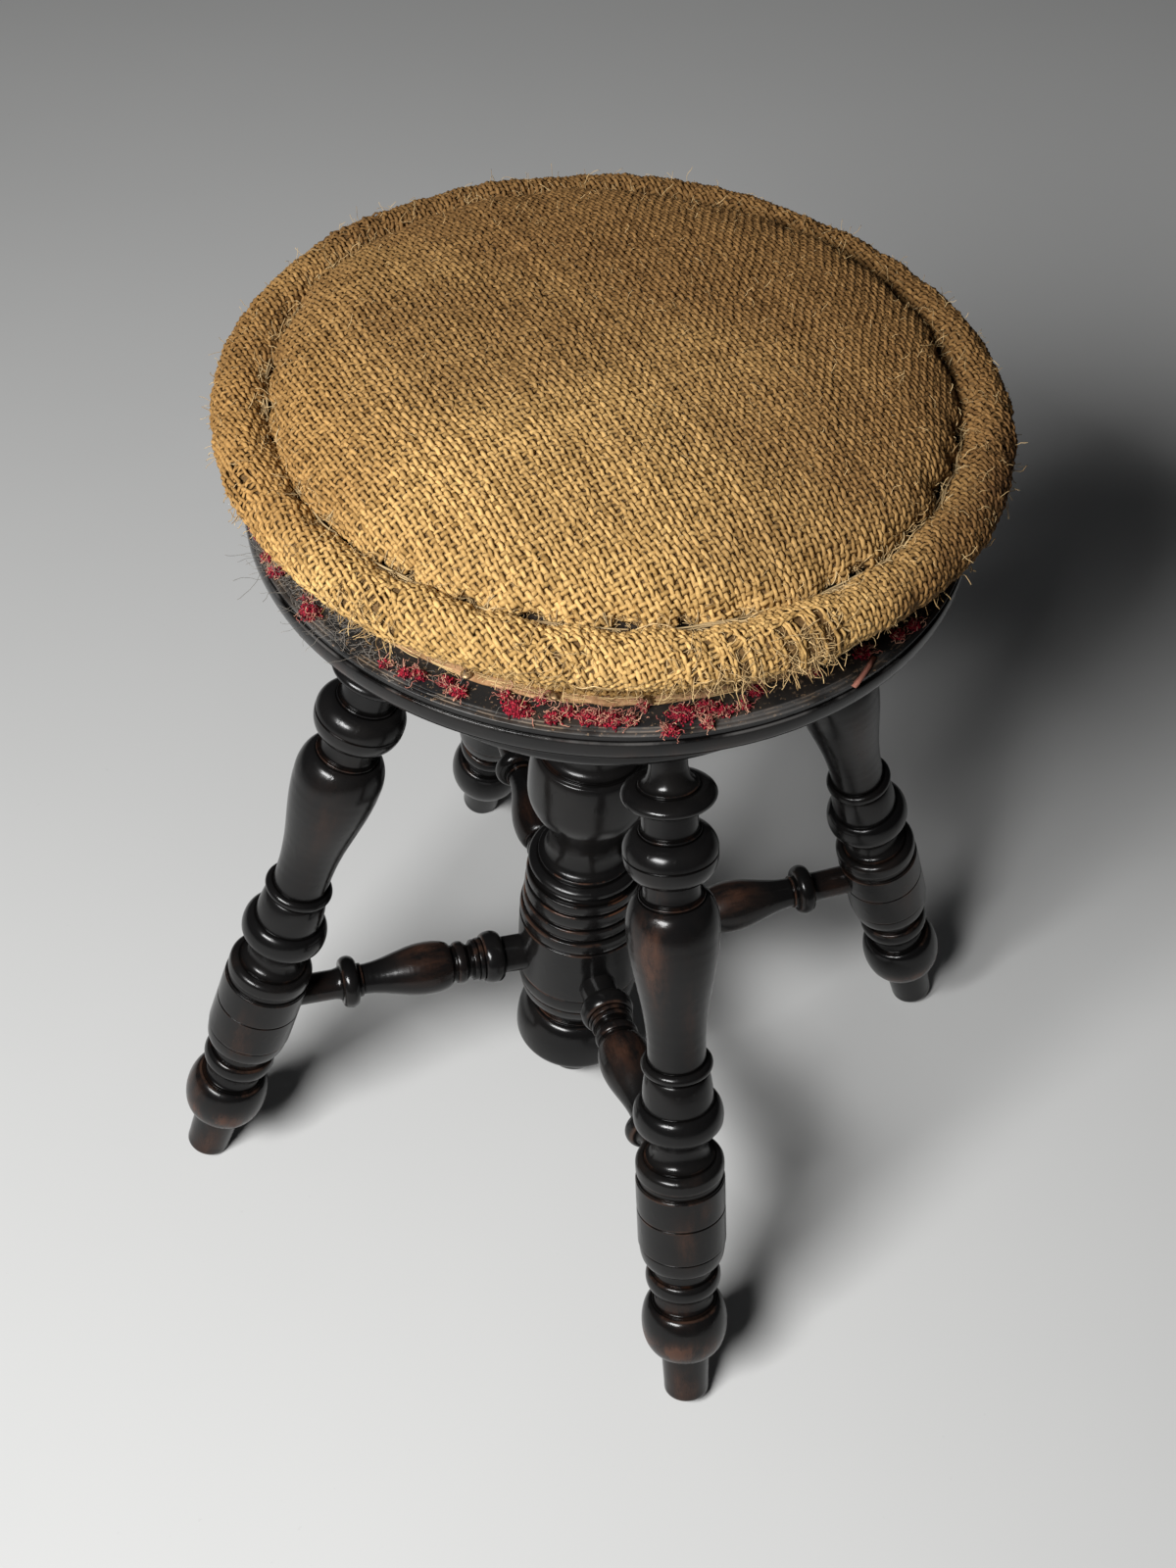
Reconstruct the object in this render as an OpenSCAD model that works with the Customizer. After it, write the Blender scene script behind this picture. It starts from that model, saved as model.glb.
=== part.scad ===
// Revolving piano stool: four splayed turned legs under a round block, a turned column that
// the lift screw winds into, four radial stretchers, and a round stuffed seat in plain
// hessian with a stitched edge roll. Millimetres, +Z up, origin on the floor at the
// centre line. The seat is drawn wound right down. The front leg stands on -Y.

/* [Legs] */
// Distance from the centre line to the middle of each foot
foot_reach = 219.7; // [200:0.1:250]
// Lean of each leg, inwards going up, in degrees
leg_lean = 17.35; // [10:0.05:20]
// Diameter of the plain barrel that takes the stretcher
barrel_d = 45; // [38:0.5:60]
// Length of the plain barrel
barrel_l = 40; // [32:0.5:60]
// Diameter of the foot peg at its worn end
peg_end_d = 23.4; // [18:0.1:26]
// Diameter of the foot peg where it meets the bun
peg_d = 25.8; // [20:0.1:32]
// Length of the foot peg
peg_l = 35; // [25:0.5:50]
// Diameter of the bun above the peg
bun_d = 44.8; // [38:0.1:56]
// Height of the bun
bun_l = 31.5; // [24:0.5:40]
// Diameter of the cuff bead under the barrel
cuff_d = 38.8; // [34:0.1:48]
// Height of the cuff bead
cuff_l = 10; // [7:0.5:14]
// Diameter of the bell above the barrel
bell_d = 44.8; // [38:0.1:56]
// Height of the bell's bead
bell_l = 14.5; // [10:0.5:20]
// Length of the flare that runs up out of the bell
flare_l = 19.5; // [14:0.5:28]
// Diameter of the thin ring under the vase
ring_d = 35.2; // [32:0.1:46]
// Height of the thin ring
ring_l = 5.8; // [4:0.1:9]
// Largest diameter of the vase
vase_d = 44.4; // [36:0.1:56]
// Smallest diameter at the vase's foot
vase_foot_d = 28.4; // [20:0.1:30]
// Length of the vase
vase_l = 93.5; // [75:0.5:120]
// Diameter of the flattened ball
ball_d = 44.4; // [38:0.1:56]
// Height of the flattened ball
ball_l = 23.3; // [18:0.1:30]
// Diameter of the thin disc at the leg's top
disc_d = 44; // [36:0.1:56]
// Height of the thin disc
disc_l = 8.5; // [6:0.1:12]
// Diameter of the leg's top neck, which is also its tenon
top_neck_d = 17.8; // [14:0.1:21]
// Length of the plain neck below the block
top_neck_l = 16.5; // [10:0.5:30]
// Length of the tenon inside the block
leg_tenon_l = 23; // [15:0.5:26]

/* [Column] */
// Height of the column's lower end above the floor
column_foot_z = 7; // [4:0.5:20]
// Diameter of the turned drop at the column's lower end
drop_d = 31; // [22:0.5:40]
// Length of the drop
drop_l = 27.5; // [20:0.5:36]
// Diameter of the bun above the drop
column_bun_d = 68.4; // [58:0.1:80]
// Height of that bun
column_bun_l = 35.5; // [28:0.5:44]
// Diameter of the plain drum that takes the stretchers
drum_d = 69; // [62:0.5:84]
// Length of the drum
drum_l = 39.9; // [34:0.1:60]
// Height of the bead under the drum
drum_bead_l = 10.6; // [7:0.1:14]
// Diameter at the lower end of the rounded foot under that bead
drum_foot_d = 61; // [56:0.1:66]
// Height of the rounded foot
drum_foot_l = 8.5; // [6:0.5:14]
// Diameter of the bead on top of the drum
crown_bead_d = 69; // [60:0.1:80]
// Height of the bead on top of the drum
crown_bead_l = 7.8; // [6:0.1:14]
// Diameters of the three rings above it, from the lowest
upper_ring_d = [66, 64.4, 63.2]; // [50:0.1:80]
// Heights of the three rings above it, from the lowest
upper_ring_l = [7.2, 9, 6.5]; // [4:0.1:12]
// Diameter of the thin cap under the waist
cap_d = 61.2; // [54:0.1:74]
// Height of the thin cap
cap_l = 5.4; // [4:0.1:12]
// Height of the hollow under the cap
cap_cove_l = 5.6; // [4:0.1:9]
// Diameter of the waist
waist_d = 39.4; // [36:0.1:46]
// Height from the cap to the waist
waist_l = 13; // [9:0.5:20]
// Largest diameter of the column's vase
urn_d = 64.8; // [56:0.1:80]
// Diameter at the shoulder line on top of the vase
shoulder_d = 56; // [48:0.1:60]
// Length of the column's vase
urn_l = 66; // [55:0.5:80]
// Smallest diameter of the neck above the vase
column_neck_d = 41; // [37:0.1:46]
// Length of the neck above the vase
column_neck_l = 13.5; // [9:0.1:20]
// Diameter of the ring above that neck
neck_ring_d = 49; // [42:0.1:60]
// Height of the ring above that neck
neck_ring_l = 7.5; // [5:0.1:12]
// Diameter of the collar under the block
collar_d = 66; // [54:0.5:80]
// Height of the collar under the block
collar_l = 9; // [6:0.5:14]
// Diameter of the column's tenon in the block
column_tenon_d = 50; // [44:0.5:60]
// Length of the column's tenon in the block
column_tenon_l = 16; // [10:0.5:20]

/* [Stretchers] */
// Diameter of the stretcher where it enters the column
stretcher_root_d = 20.4; // [16:0.1:26]
// Diameter of the stretcher where it enters the leg
stretcher_tip_d = 16.4; // [13:0.1:20]
// Depth of each stretcher end in its socket
stretcher_tenon_l = 13; // [8:0.5:17]
// Length of the plain root beside the column
root_l = 11.5; // [8:0.5:18]
// Diameter of the large bead near the column
knob_d = 29.2; // [24:0.1:36]
// Height of the large bead near the column
knob_l = 11; // [8:0.5:16]
// Diameter of the fine rings beside the large bead
fine_ring_d = 24; // [21:0.1:30]
// Height of each fine ring
fine_ring_l = 3; // [2:0.1:5]
// Diameter of the neck beside the fine rings
reel_d = 18.4; // [14:0.1:22]
// Length of that neck
reel_l = 4; // [3:0.1:8]
// Diameter of the small bead beside the vase
small_bead_d = 23.6; // [20:0.1:30]
// Height of the small bead beside the vase
small_bead_l = 5.5; // [4:0.1:9]
// Largest diameter of the stretcher's vase
spindle_d = 29.2; // [24:0.1:36]
// Smallest diameter of the stretcher's vase
spindle_tip_d = 16.6; // [13:0.1:20]
// Diameter of the bead near the leg
outer_bead_d = 28.6; // [24:0.1:36]
// Height of the bead near the leg
outer_bead_l = 9; // [6:0.5:14]
// Length of the plain tip between that bead and the leg
tip_l = 21; // [14:0.5:30]

/* [Block and screw] */
// Wood left from each leg's centre line out to the block's edge
block_rim = 23; // [19:0.5:32]
// Thickness of the block
block_t = 30.5; // [27:0.5:44]
// Diameter of the lift screw
screw_d = 22; // [16:0.5:24]
// Length of the lift screw below its hub
screw_l = 190; // [165:1:195]
// Diameter of the nut's barrel
nut_d = 32; // [29:0.5:36]
// Length of the nut, flange included
nut_l = 40; // [32:0.5:50]
// Diameter of the nut's flange
nut_flange_d = 84; // [76:0.5:100]
// Thickness of the nut's flange
nut_flange_t = 4; // [3:0.1:6]
// Diameter of the leather thrust washer
washer_d = 38; // [32:0.5:46]
// Thickness of the leather thrust washer
washer_t = 2; // [1.5:0.1:4]
// Diameter of the seat plate's hub
hub_d = 36; // [30:0.5:44]
// Height of the seat plate's hub
hub_l = 4; // [3:0.1:8]
// Diameter of the seat plate
plate_d = 100; // [88:1:130]
// Thickness of the seat plate
plate_t = 4; // [3:0.1:6]
// Head diameter of the wood screws
wood_screw_head_d = 9; // [7:0.1:11]
// Shank diameter of the wood screws
wood_screw_d = 4.5; // [3.5:0.1:5.5]
// Length of the wood screws
wood_screw_l = 16; // [12:0.5:20]

/* [Seat board] */
// Diameter over the board's moulded edge
seat_d = 325; // [300:1:380]
// Thickness of the board
board_t = 22; // [18:0.5:30]
// Height of the hollowed band at the ledge's outer edge
band_l = 4.4; // [2:0.1:6]
// How far the ledge's edge stands back from the half-round
band_inset = 0.6; // [0.2:0.1:2]
// Height of the half-round under the band
moulding_l = 8; // [6:0.5:11]
// Width of the ledge outside the border
ledge_w = 22; // [14:0.5:26]

/* [Upholstery] */
// Diameter of the stitched edge roll's own section
roll_d = 26.8; // [20:0.1:30]
// How far the roll stands out past the board
roll_overhang = 10.7; // [4:0.1:16]
// Height of the roll's middle above the board
roll_rise = 37.5; // [30:0.5:50]
// Height of the crown above the board
crown_rise = 76.5; // [64:0.5:95]
// Thickness of the hessian, with its turned edges
hessian_t = 1.3; // [0.8:0.1:2.5]
// Width of the hem that is tacked to the ledge
hem_w = 8; // [7:0.5:11]
// Number of tacks through the hem
tack_count = 24; // [12:1:36]
// Head diameter of the tacks
tack_head_d = 5.4; // [4:0.1:6]
// Thickness of the velvet left on the ledge
velvet_t = 1.6; // [1:0.1:3]

/* [Hidden] */

$fn = 96;
// Cuts run past the faces that they open by this much
overrun = 1;
// Room for glue between a tenon and its socket, all round
glue_gap = 0.1;
// Room between the lift screw and its nut, all round
screw_run = 0.05;
// Room between the lift screw and the wood around it, all round
wood_clear = 1.2;
// Room between parts that move past each other
part_gap = 0.3;
// Room around a fastener's shank in its pilot hole
pilot_gap = 0.05;

// Where each leg and stretcher points, in degrees about +Z
front_turn = -90;
right_turn = 0;
back_turn = 90;
left_turn = 180;

wood_c = [0.10, 0.085, 0.08];
iron_c = [0.30, 0.29, 0.28];
leather_c = [0.36, 0.22, 0.13];
hessian_c = [0.72, 0.55, 0.33];
stuffing_c = [0.28, 0.22, 0.17];
brass_c = [0.66, 0.52, 0.30];
velvet_c = [0.55, 0.09, 0.12];

// Outline helpers. A point is [radius, height]. Each arc is a quarter of an ellipse between
// two points: out_arc leaves the first point square to the axis, up_arc leaves it along the
// axis. A hollow runs from wide to narrow with out_arc, and from narrow to wide with up_arc.
fine = 5;
smooth = 9;
smoother = 12;
function out_arc(p, q, n = fine) = [for (i = [0:n]) let (a = 90 * i / n)
    [p[0] + (q[0] - p[0]) * sin(a), p[1] + (q[1] - p[1]) * (1 - cos(a))]];
function up_arc(p, q, n = fine) = [for (i = [0:n]) let (a = 90 * i / n)
    [p[0] + (q[0] - p[0]) * (1 - cos(a)), p[1] + (q[1] - p[1]) * sin(a)]];
// A bead that swells from radius r0 at height z to radius r1 at height z + l, r at its fullest
function bead(z, l, r0, r, r1, full_share = 0.5, n = fine) =
    concat(out_arc([r0, z], [r, z + l * full_share], n),
           up_arc([r, z + l * full_share], [r1, z + l], n));
// A hollow neck from radius r0 at height z to radius r1 at height z + l, r at its narrowest,
// with a fine upright fillet at each end
neck_fillet_l = 0.7;
neck_step = 0.5;
function hollow(z, l, r0, r, r1, deep_share = 0.5, n = fine) =
    let (low = z + neck_fillet_l, high = z + l - neck_fillet_l, deep = low + (high - low) * deep_share)
    concat([[r0, z], [r0, low]], out_arc([max(r0 - neck_step, r), low], [r, deep], n),
           up_arc([r, deep], [max(r1 - neck_step, r), high], n), [[r1, high], [r1, z + l]]);
// An eased slope between two points; a power over 1 keeps it slim for longer
function ease(p, q, power, n = smooth) = [for (i = [0:n])
    let (u = i / n, e = pow((1 - cos(180 * u)) / 2, power))
    [p[0] + (q[0] - p[0]) * e, p[1] + (q[1] - p[1]) * u]];
// A scribed line: a small V of the given depth and width at height z in radius r
function scribe(z, r, depth, width) = [[r, z - width / 2], [r - depth, z], [r, z + width / 2]];

// Turns an outline about its axis
module turned(points) {
    rotate_extrude() polygon(points);
}

// Small sizes shared by the turned work
fillet_l = 1.4;
quirk_depth = 1;
quirk_l = 1.2;
scribe_depth = 0.5;
scribe_w = 1;

// Heights along a leg's own axis, from the floor point
foot_cut_t = 2.2;
foot_round = 1.4;
bun_t = peg_l;
bun_neck_t = bun_t + bun_l;
bun_neck_l = 12;
bun_neck_d = 28.4;
bun_under_d = 29;
bun_top_d = 34;
cuff_t = bun_neck_t + bun_neck_l;
cuff_edge_d = 34;
cuff_neck_t = cuff_t + cuff_l;
cuff_neck_l = 9;
cuff_neck_d = 32.4;
barrel_round_l = 10;
barrel_round_d = 39.4;
barrel_round_t = cuff_neck_t + cuff_neck_l;
barrel_t = barrel_round_t + barrel_round_l + quirk_l;
lip_t = barrel_t + barrel_l;
lip_l = 6;
lip_depth = 1.4;
lip_bead_l = 8;
lip_bead_top_d = 36.4;
bell_neck_t = lip_t + lip_l + lip_bead_l;
bell_neck_l = 20.5;
bell_neck_d = 25.6;
bell_t = bell_neck_t + bell_neck_l;
bell_edge_l = 1.2;
bell_top_d = 35;
flare_t = bell_t + bell_l;
ring_t = flare_t + flare_l;
vase_t = ring_t + ring_l;
vase_full_share = 0.835;
vase_shoulder_d = 30;
vase_neck_t = vase_t + vase_l;
vase_neck_l = 12.2;
vase_neck_d = 26.8;
ball_t = vase_neck_t + vase_neck_l;
ball_edge_d = 28;
ball_line_share = 0.56;
ball_full_share = 0.6;
ball_neck_t = ball_t + ball_l;
ball_neck_l = 15.5;
ball_neck_d = 26.4;
disc_t = ball_neck_t + ball_neck_l;
disc_edge_d = 28;
top_flare_t = disc_t + disc_l;
top_flare_l = 12;
top_neck_t = top_flare_t + top_flare_l;
leg_l = top_neck_t + top_neck_l;

// Where the leg's centre line is, as distance from the centre line of the stool and height
function leg_reach(t) = foot_reach - t * sin(leg_lean);
function leg_height(t) = t * cos(leg_lean);

mortise_share = 0.55;
mortise_t = barrel_t + barrel_l * mortise_share;
block_z = leg_height(leg_l);
block_top = block_z + block_t;
block_d = 2 * (leg_reach(leg_l) + block_rim);

function leg_points() = concat(
    [[0, foot_cut_t], [peg_end_d / 2 - foot_round, foot_cut_t],
     [peg_end_d / 2, foot_cut_t + foot_round], [peg_d / 2, bun_t]],
    bead(bun_t, bun_l, bun_under_d / 2, bun_d / 2, bun_top_d / 2, full_share = 0.54, n = smooth),
    hollow(bun_neck_t, bun_neck_l, bun_top_d / 2 - quirk_depth / 2, bun_neck_d / 2,
           cuff_edge_d / 2 - quirk_depth / 2, deep_share = 0.45),
    bead(cuff_t, cuff_l, cuff_edge_d / 2, cuff_d / 2, cuff_edge_d / 2),
    hollow(cuff_neck_t, cuff_neck_l, cuff_edge_d / 2 - quirk_depth / 2, cuff_neck_d / 2,
           barrel_round_d / 2 - quirk_depth / 2),
    out_arc([barrel_round_d / 2, barrel_round_t],
            [barrel_d / 2 - quirk_depth / 2, barrel_round_t + barrel_round_l]),
    [[barrel_d / 2 - quirk_depth, barrel_t - quirk_l / 2], [barrel_d / 2, barrel_t]],
    scribe(mortise_t, barrel_d / 2, scribe_depth, scribe_w),
    [[barrel_d / 2, lip_t]],
    hollow(lip_t + fillet_l / 2, lip_l - fillet_l, barrel_d / 2 - quirk_depth / 2,
           barrel_d / 2 - lip_depth, barrel_d / 2 - quirk_depth / 2),
    [[barrel_d / 2 - quirk_depth / 4, lip_t + lip_l]],
    up_arc([barrel_d / 2 - quirk_depth / 4, lip_t + lip_l + lip_bead_l / 2],
           [lip_bead_top_d / 2, bell_neck_t]),
    hollow(bell_neck_t, bell_neck_l, lip_bead_top_d / 2 - quirk_depth / 2, bell_neck_d / 2,
           bell_d / 2 - 2 * quirk_depth, deep_share = 0.4, n = smooth),
    [[bell_d / 2 - quirk_depth, bell_t + bell_edge_l]],
    bead(bell_t + bell_edge_l, bell_l - bell_edge_l, bell_d / 2 - quirk_depth, bell_d / 2,
         bell_top_d / 2, full_share = 0.35),
    up_arc([bell_top_d / 2, flare_t], [vase_foot_d / 2 + quirk_depth / 4, ring_t - fillet_l], smooth),
    [[vase_foot_d / 2 + quirk_depth / 4, ring_t]],
    bead(ring_t, ring_l, vase_foot_d / 2 + quirk_depth / 2, ring_d / 2,
         vase_foot_d / 2 + quirk_depth / 2),
    ease([vase_foot_d / 2, vase_t], [vase_d / 2, vase_t + vase_l * vase_full_share],
         power = 1.35, n = smoother),
    up_arc([vase_d / 2, vase_t + vase_l * vase_full_share], [vase_shoulder_d / 2, vase_neck_t], smooth),
    [[vase_shoulder_d / 2 + quirk_depth / 2, vase_neck_t + fillet_l / 4],
     [vase_shoulder_d / 2 + quirk_depth / 2, vase_neck_t + fillet_l]],
    hollow(vase_neck_t + fillet_l, vase_neck_l - fillet_l, vase_shoulder_d / 2 - quirk_depth / 2,
           vase_neck_d / 2, ball_edge_d / 2 - quirk_depth / 2, deep_share = 0.6),
    out_arc([ball_edge_d / 2, ball_t], [ball_d / 2, ball_t + ball_l / 2], smooth),
    scribe(ball_t + ball_l * ball_line_share, ball_d / 2, scribe_depth, scribe_w),
    up_arc([ball_d / 2, ball_t + ball_l * ball_full_share], [ball_edge_d / 2, ball_neck_t], smooth),
    [[ball_edge_d / 2 + quirk_depth / 2, ball_neck_t],
     [ball_edge_d / 2 + quirk_depth / 2, ball_neck_t + fillet_l]],
    hollow(ball_neck_t + fillet_l, ball_neck_l - fillet_l, ball_edge_d / 2 - quirk_depth / 2,
           ball_neck_d / 2, disc_edge_d / 2 - quirk_depth / 2, deep_share = 0.6),
    bead(disc_t, disc_l, disc_edge_d / 2, disc_d / 2, disc_edge_d / 2),
    [[disc_edge_d / 2, top_flare_t + fillet_l]],
    out_arc([disc_edge_d / 2 - quirk_depth / 2, top_flare_t + fillet_l],
            [top_neck_d / 2, top_neck_t], smooth),
    [[top_neck_d / 2, leg_l + leg_tenon_l], [0, leg_l + leg_tenon_l]]);

// Puts a piece that is drawn along a leg's axis, from its floor point, into the stool
module on_leg(turn) {
    rotate([0, 0, turn]) translate([foot_reach, 0, 0]) rotate([0, -leg_lean, 0]) children();
}

// Heights up the column
drop_full_share = 0.35;
drop_neck_d = 25;
bun_z = column_foot_z + drop_l;
column_bun_full_share = 0.3;
bun_cap_d = 50;
drum_neck_z = bun_z + column_bun_l;
drum_neck_l = 14;
drum_neck_d = 46;
drum_foot_z = drum_neck_z + drum_neck_l;
drum_bead_z = drum_foot_z + drum_foot_l + quirk_l;
drum_z = drum_bead_z + drum_bead_l + quirk_l;
crown_bead_z = drum_z + drum_l + quirk_l;
ring_groove_l = 1.8;
ring_groove_depth = 1.9;
ring_0_z = crown_bead_z + crown_bead_l + ring_groove_l;
ring_1_z = ring_0_z + upper_ring_l[0] + ring_groove_l;
ring_2_z = ring_1_z + upper_ring_l[1] + ring_groove_l;
cap_cove_z = ring_2_z + upper_ring_l[2];
cap_cove_d = 54;
cap_z = cap_cove_z + cap_cove_l;
waist_z = cap_z + cap_l + waist_l;
cap_fillet_d = 51;
cap_fillet_l = 2.6;
urn_full_share = 0.6;
urn_z = waist_z;
column_neck_z = urn_z + urn_l;
neck_ring_z = column_neck_z + column_neck_l;
shaft_z = neck_ring_z + neck_ring_l;
shaft_d = 44;
shaft_full_d = 54;
shaft_neck_l = 8;
collar_neck_l = 5;
collar_root_d = 58;
collar_z = block_z - collar_l - collar_neck_l;
column_top = block_z + column_tenon_l;
drum_mortise_share = 0.276;
drum_mortise_z = drum_z + drum_l * drum_mortise_share;

// The screw's room, from the block's top down
nut_bottom = block_top - nut_l;
washer_z = block_top + part_gap;
hub_z = washer_z + washer_t + part_gap;
plate_z = hub_z + hub_l;
board_z = plate_z + plate_t;
board_top = board_z + board_t;
screw_bottom = hub_z - screw_l;
bore_floor_gap = 12;
screw_tip_l = 3;

function column_points() = concat(
    [[0, column_foot_z]],
    out_arc([0, column_foot_z], [drop_d / 2, column_foot_z + drop_l * drop_full_share], smooth),
    up_arc([drop_d / 2, column_foot_z + drop_l * drop_full_share],
           [drop_neck_d / 2, bun_z - fillet_l], smooth),
    [[drop_d / 2 - quirk_depth, bun_z - fillet_l], [drop_d / 2 - quirk_depth, bun_z]],
    bead(bun_z, column_bun_l, drop_d / 2 + quirk_depth, column_bun_d / 2, bun_cap_d / 2,
         column_bun_full_share, smooth),
    [[bun_cap_d / 2, drum_neck_z + fillet_l]],
    hollow(drum_neck_z + fillet_l, drum_neck_l - fillet_l, bun_cap_d / 2 - quirk_depth,
           drum_neck_d / 2, drum_foot_d / 2 - quirk_depth, deep_share = 0.35, n = smooth),
    out_arc([drum_foot_d / 2, drum_foot_z],
            [drum_d / 2 - 1.5 * quirk_depth, drum_foot_z + drum_foot_l], smooth),
    [[drum_d / 2 - 2 * quirk_depth, drum_bead_z - quirk_l / 2]],
    bead(drum_bead_z, drum_bead_l, drum_d / 2 - 1.5 * quirk_depth, drum_d / 2 - quirk_depth / 4,
         drum_d / 2 - quirk_depth, n = smooth),
    [[drum_d / 2 - 1.5 * quirk_depth, drum_z - quirk_l / 2], [drum_d / 2, drum_z],
     [drum_d / 2, drum_z + drum_l], [drum_d / 2 - quirk_depth, drum_z + drum_l + quirk_l / 2]],
    bead(crown_bead_z, crown_bead_l, crown_bead_d / 2 - quirk_depth, crown_bead_d / 2,
         crown_bead_d / 2 - quirk_depth),
    [for (i = [0:2]) let (z = [ring_0_z, ring_1_z, ring_2_z][i], r = upper_ring_d[i] / 2)
        each concat([[r - ring_groove_depth, z - ring_groove_l], [r - ring_groove_depth, z]],
                    bead(z, upper_ring_l[i], r - quirk_depth, r, r - quirk_depth))],
    hollow(cap_cove_z, cap_cove_l, upper_ring_d[2] / 2 - 2 * quirk_depth, cap_cove_d / 2,
           cap_d / 2 - 2 * quirk_depth),
    bead(cap_z, cap_l, cap_d / 2 - quirk_depth, cap_d / 2, cap_fillet_d / 2, full_share = 0.4),
    [[cap_fillet_d / 2, cap_z + cap_l + cap_fillet_l]],
    out_arc([cap_fillet_d / 2 - quirk_depth, cap_z + cap_l + cap_fillet_l], [waist_d / 2, waist_z], smooth),
    ease([waist_d / 2, urn_z], [urn_d / 2, urn_z + urn_l * urn_full_share], power = 1.2, n = smoother),
    up_arc([urn_d / 2, urn_z + urn_l * urn_full_share], [shoulder_d / 2, column_neck_z], smooth),
    [[shoulder_d / 2 - quirk_depth, column_neck_z + fillet_l / 2],
     [shoulder_d / 2 - quirk_depth, column_neck_z + fillet_l]],
    hollow(column_neck_z + fillet_l, column_neck_l - fillet_l, shoulder_d / 2 - 2 * quirk_depth,
           column_neck_d / 2, neck_ring_d / 2 - quirk_depth, deep_share = 0.8, n = smooth),
    bead(neck_ring_z, neck_ring_l, neck_ring_d / 2 - quirk_depth, neck_ring_d / 2,
         neck_ring_d / 2 - quirk_depth),
    out_arc([neck_ring_d / 2 - 2 * quirk_depth, shaft_z], [shaft_d / 2, shaft_z + shaft_neck_l]),
    ease([shaft_d / 2, shaft_z + shaft_neck_l], [shaft_full_d / 2, collar_z - fillet_l], power = 1),
    [[shaft_full_d / 2, collar_z]],
    bead(collar_z, collar_l, shaft_full_d / 2 + quirk_depth, collar_d / 2, collar_root_d / 2),
    [[collar_root_d / 2, block_z], [column_tenon_d / 2, block_z],
     [column_tenon_d / 2, column_top], [0, column_top]]);

// Where the stretcher lies: both ends on the pieces' own centre lines
stretcher_in = [0, drum_mortise_z];
stretcher_out = [leg_reach(mortise_t), leg_height(mortise_t)];
stretcher_run = stretcher_out[0] - stretcher_in[0];
stretcher_climb = stretcher_out[1] - stretcher_in[1];
stretcher_rise = atan2(stretcher_climb, stretcher_run);
stretcher_span = norm([stretcher_run, stretcher_climb]);
column_face = drum_d / 2;
leg_face = stretcher_span - barrel_d / 2 / cos(leg_lean);

// Distances out along a stretcher
knob_s = column_face + root_l;
fine_s = knob_s + knob_l;
fine_count = 2;
reel_s = fine_s + fine_count * fine_ring_l;
small_bead_s = reel_s + reel_l;
spindle_root_d = 21.2;
spindle_quirk_l = 2.5;
spindle_s = small_bead_s + small_bead_l + spindle_quirk_l;
outer_bead_s = leg_face - tip_l - outer_bead_l;
spindle_full_share = 0.27;
spindle_l = outer_bead_s - spindle_quirk_l - spindle_s;

function stretcher_points() = concat(
    [[0, column_face - stretcher_tenon_l], [stretcher_root_d / 2, column_face - stretcher_tenon_l],
     [stretcher_root_d / 2, knob_s]],
    bead(knob_s, knob_l, stretcher_root_d / 2 + quirk_depth, knob_d / 2, fine_ring_d / 2),
    [for (i = [0:fine_count - 1])
        each bead(fine_s + i * fine_ring_l, fine_ring_l, fine_ring_d / 2 - quirk_depth * (1 + i) / 2,
                  fine_ring_d / 2 - quirk_depth * i / 2, fine_ring_d / 2 - quirk_depth * (1 + i) / 2)],
    hollow(reel_s, reel_l, reel_d / 2 + quirk_depth, reel_d / 2, reel_d / 2 + quirk_depth),
    bead(small_bead_s, small_bead_l, reel_d / 2 + quirk_depth, small_bead_d / 2,
         spindle_root_d / 2),
    [[spindle_root_d / 2 - quirk_depth / 2, small_bead_s + small_bead_l + spindle_quirk_l / 2]],
    out_arc([spindle_root_d / 2, spindle_s],
            [spindle_d / 2, spindle_s + spindle_l * spindle_full_share], smooth),
    ease([spindle_d / 2, spindle_s + spindle_l * spindle_full_share],
         [spindle_tip_d / 2, spindle_s + spindle_l], power = 1, n = smoother),
    [[spindle_tip_d / 2 + quirk_depth, outer_bead_s - spindle_quirk_l],
     [spindle_tip_d / 2 + quirk_depth, outer_bead_s]],
    bead(outer_bead_s, outer_bead_l, spindle_tip_d / 2 + 2 * quirk_depth, outer_bead_d / 2,
         stretcher_tip_d / 2 + 3 * quirk_depth),
    out_arc([stretcher_tip_d / 2 + 2 * quirk_depth, outer_bead_s + outer_bead_l],
            [stretcher_tip_d / 2, outer_bead_s + outer_bead_l + spindle_quirk_l * 2]),
    [[stretcher_tip_d / 2, leg_face + stretcher_tenon_l], [0, leg_face + stretcher_tenon_l]]);

// Puts a piece that is drawn along a stretcher's axis, from the column's middle, into place
module on_stretcher(turn) {
    rotate([0, 0, turn]) translate([stretcher_in[0], 0, stretcher_in[1]])
        rotate([0, 90 - stretcher_rise, 0]) children();
}

// The block under the seat: a round board with rounded edges, sockets and the screw's way
block_edge = 6;
nut_recess_gap = 0.15;

function block_points() = concat(
    [[0, block_z]],
    out_arc([block_d / 2 - block_edge, block_z], [block_d / 2, block_z + block_edge]),
    [[block_d / 2, block_top - block_edge]],
    up_arc([block_d / 2, block_top - block_edge], [block_d / 2 - block_edge, block_top]),
    [[0, block_top]]);

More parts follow.
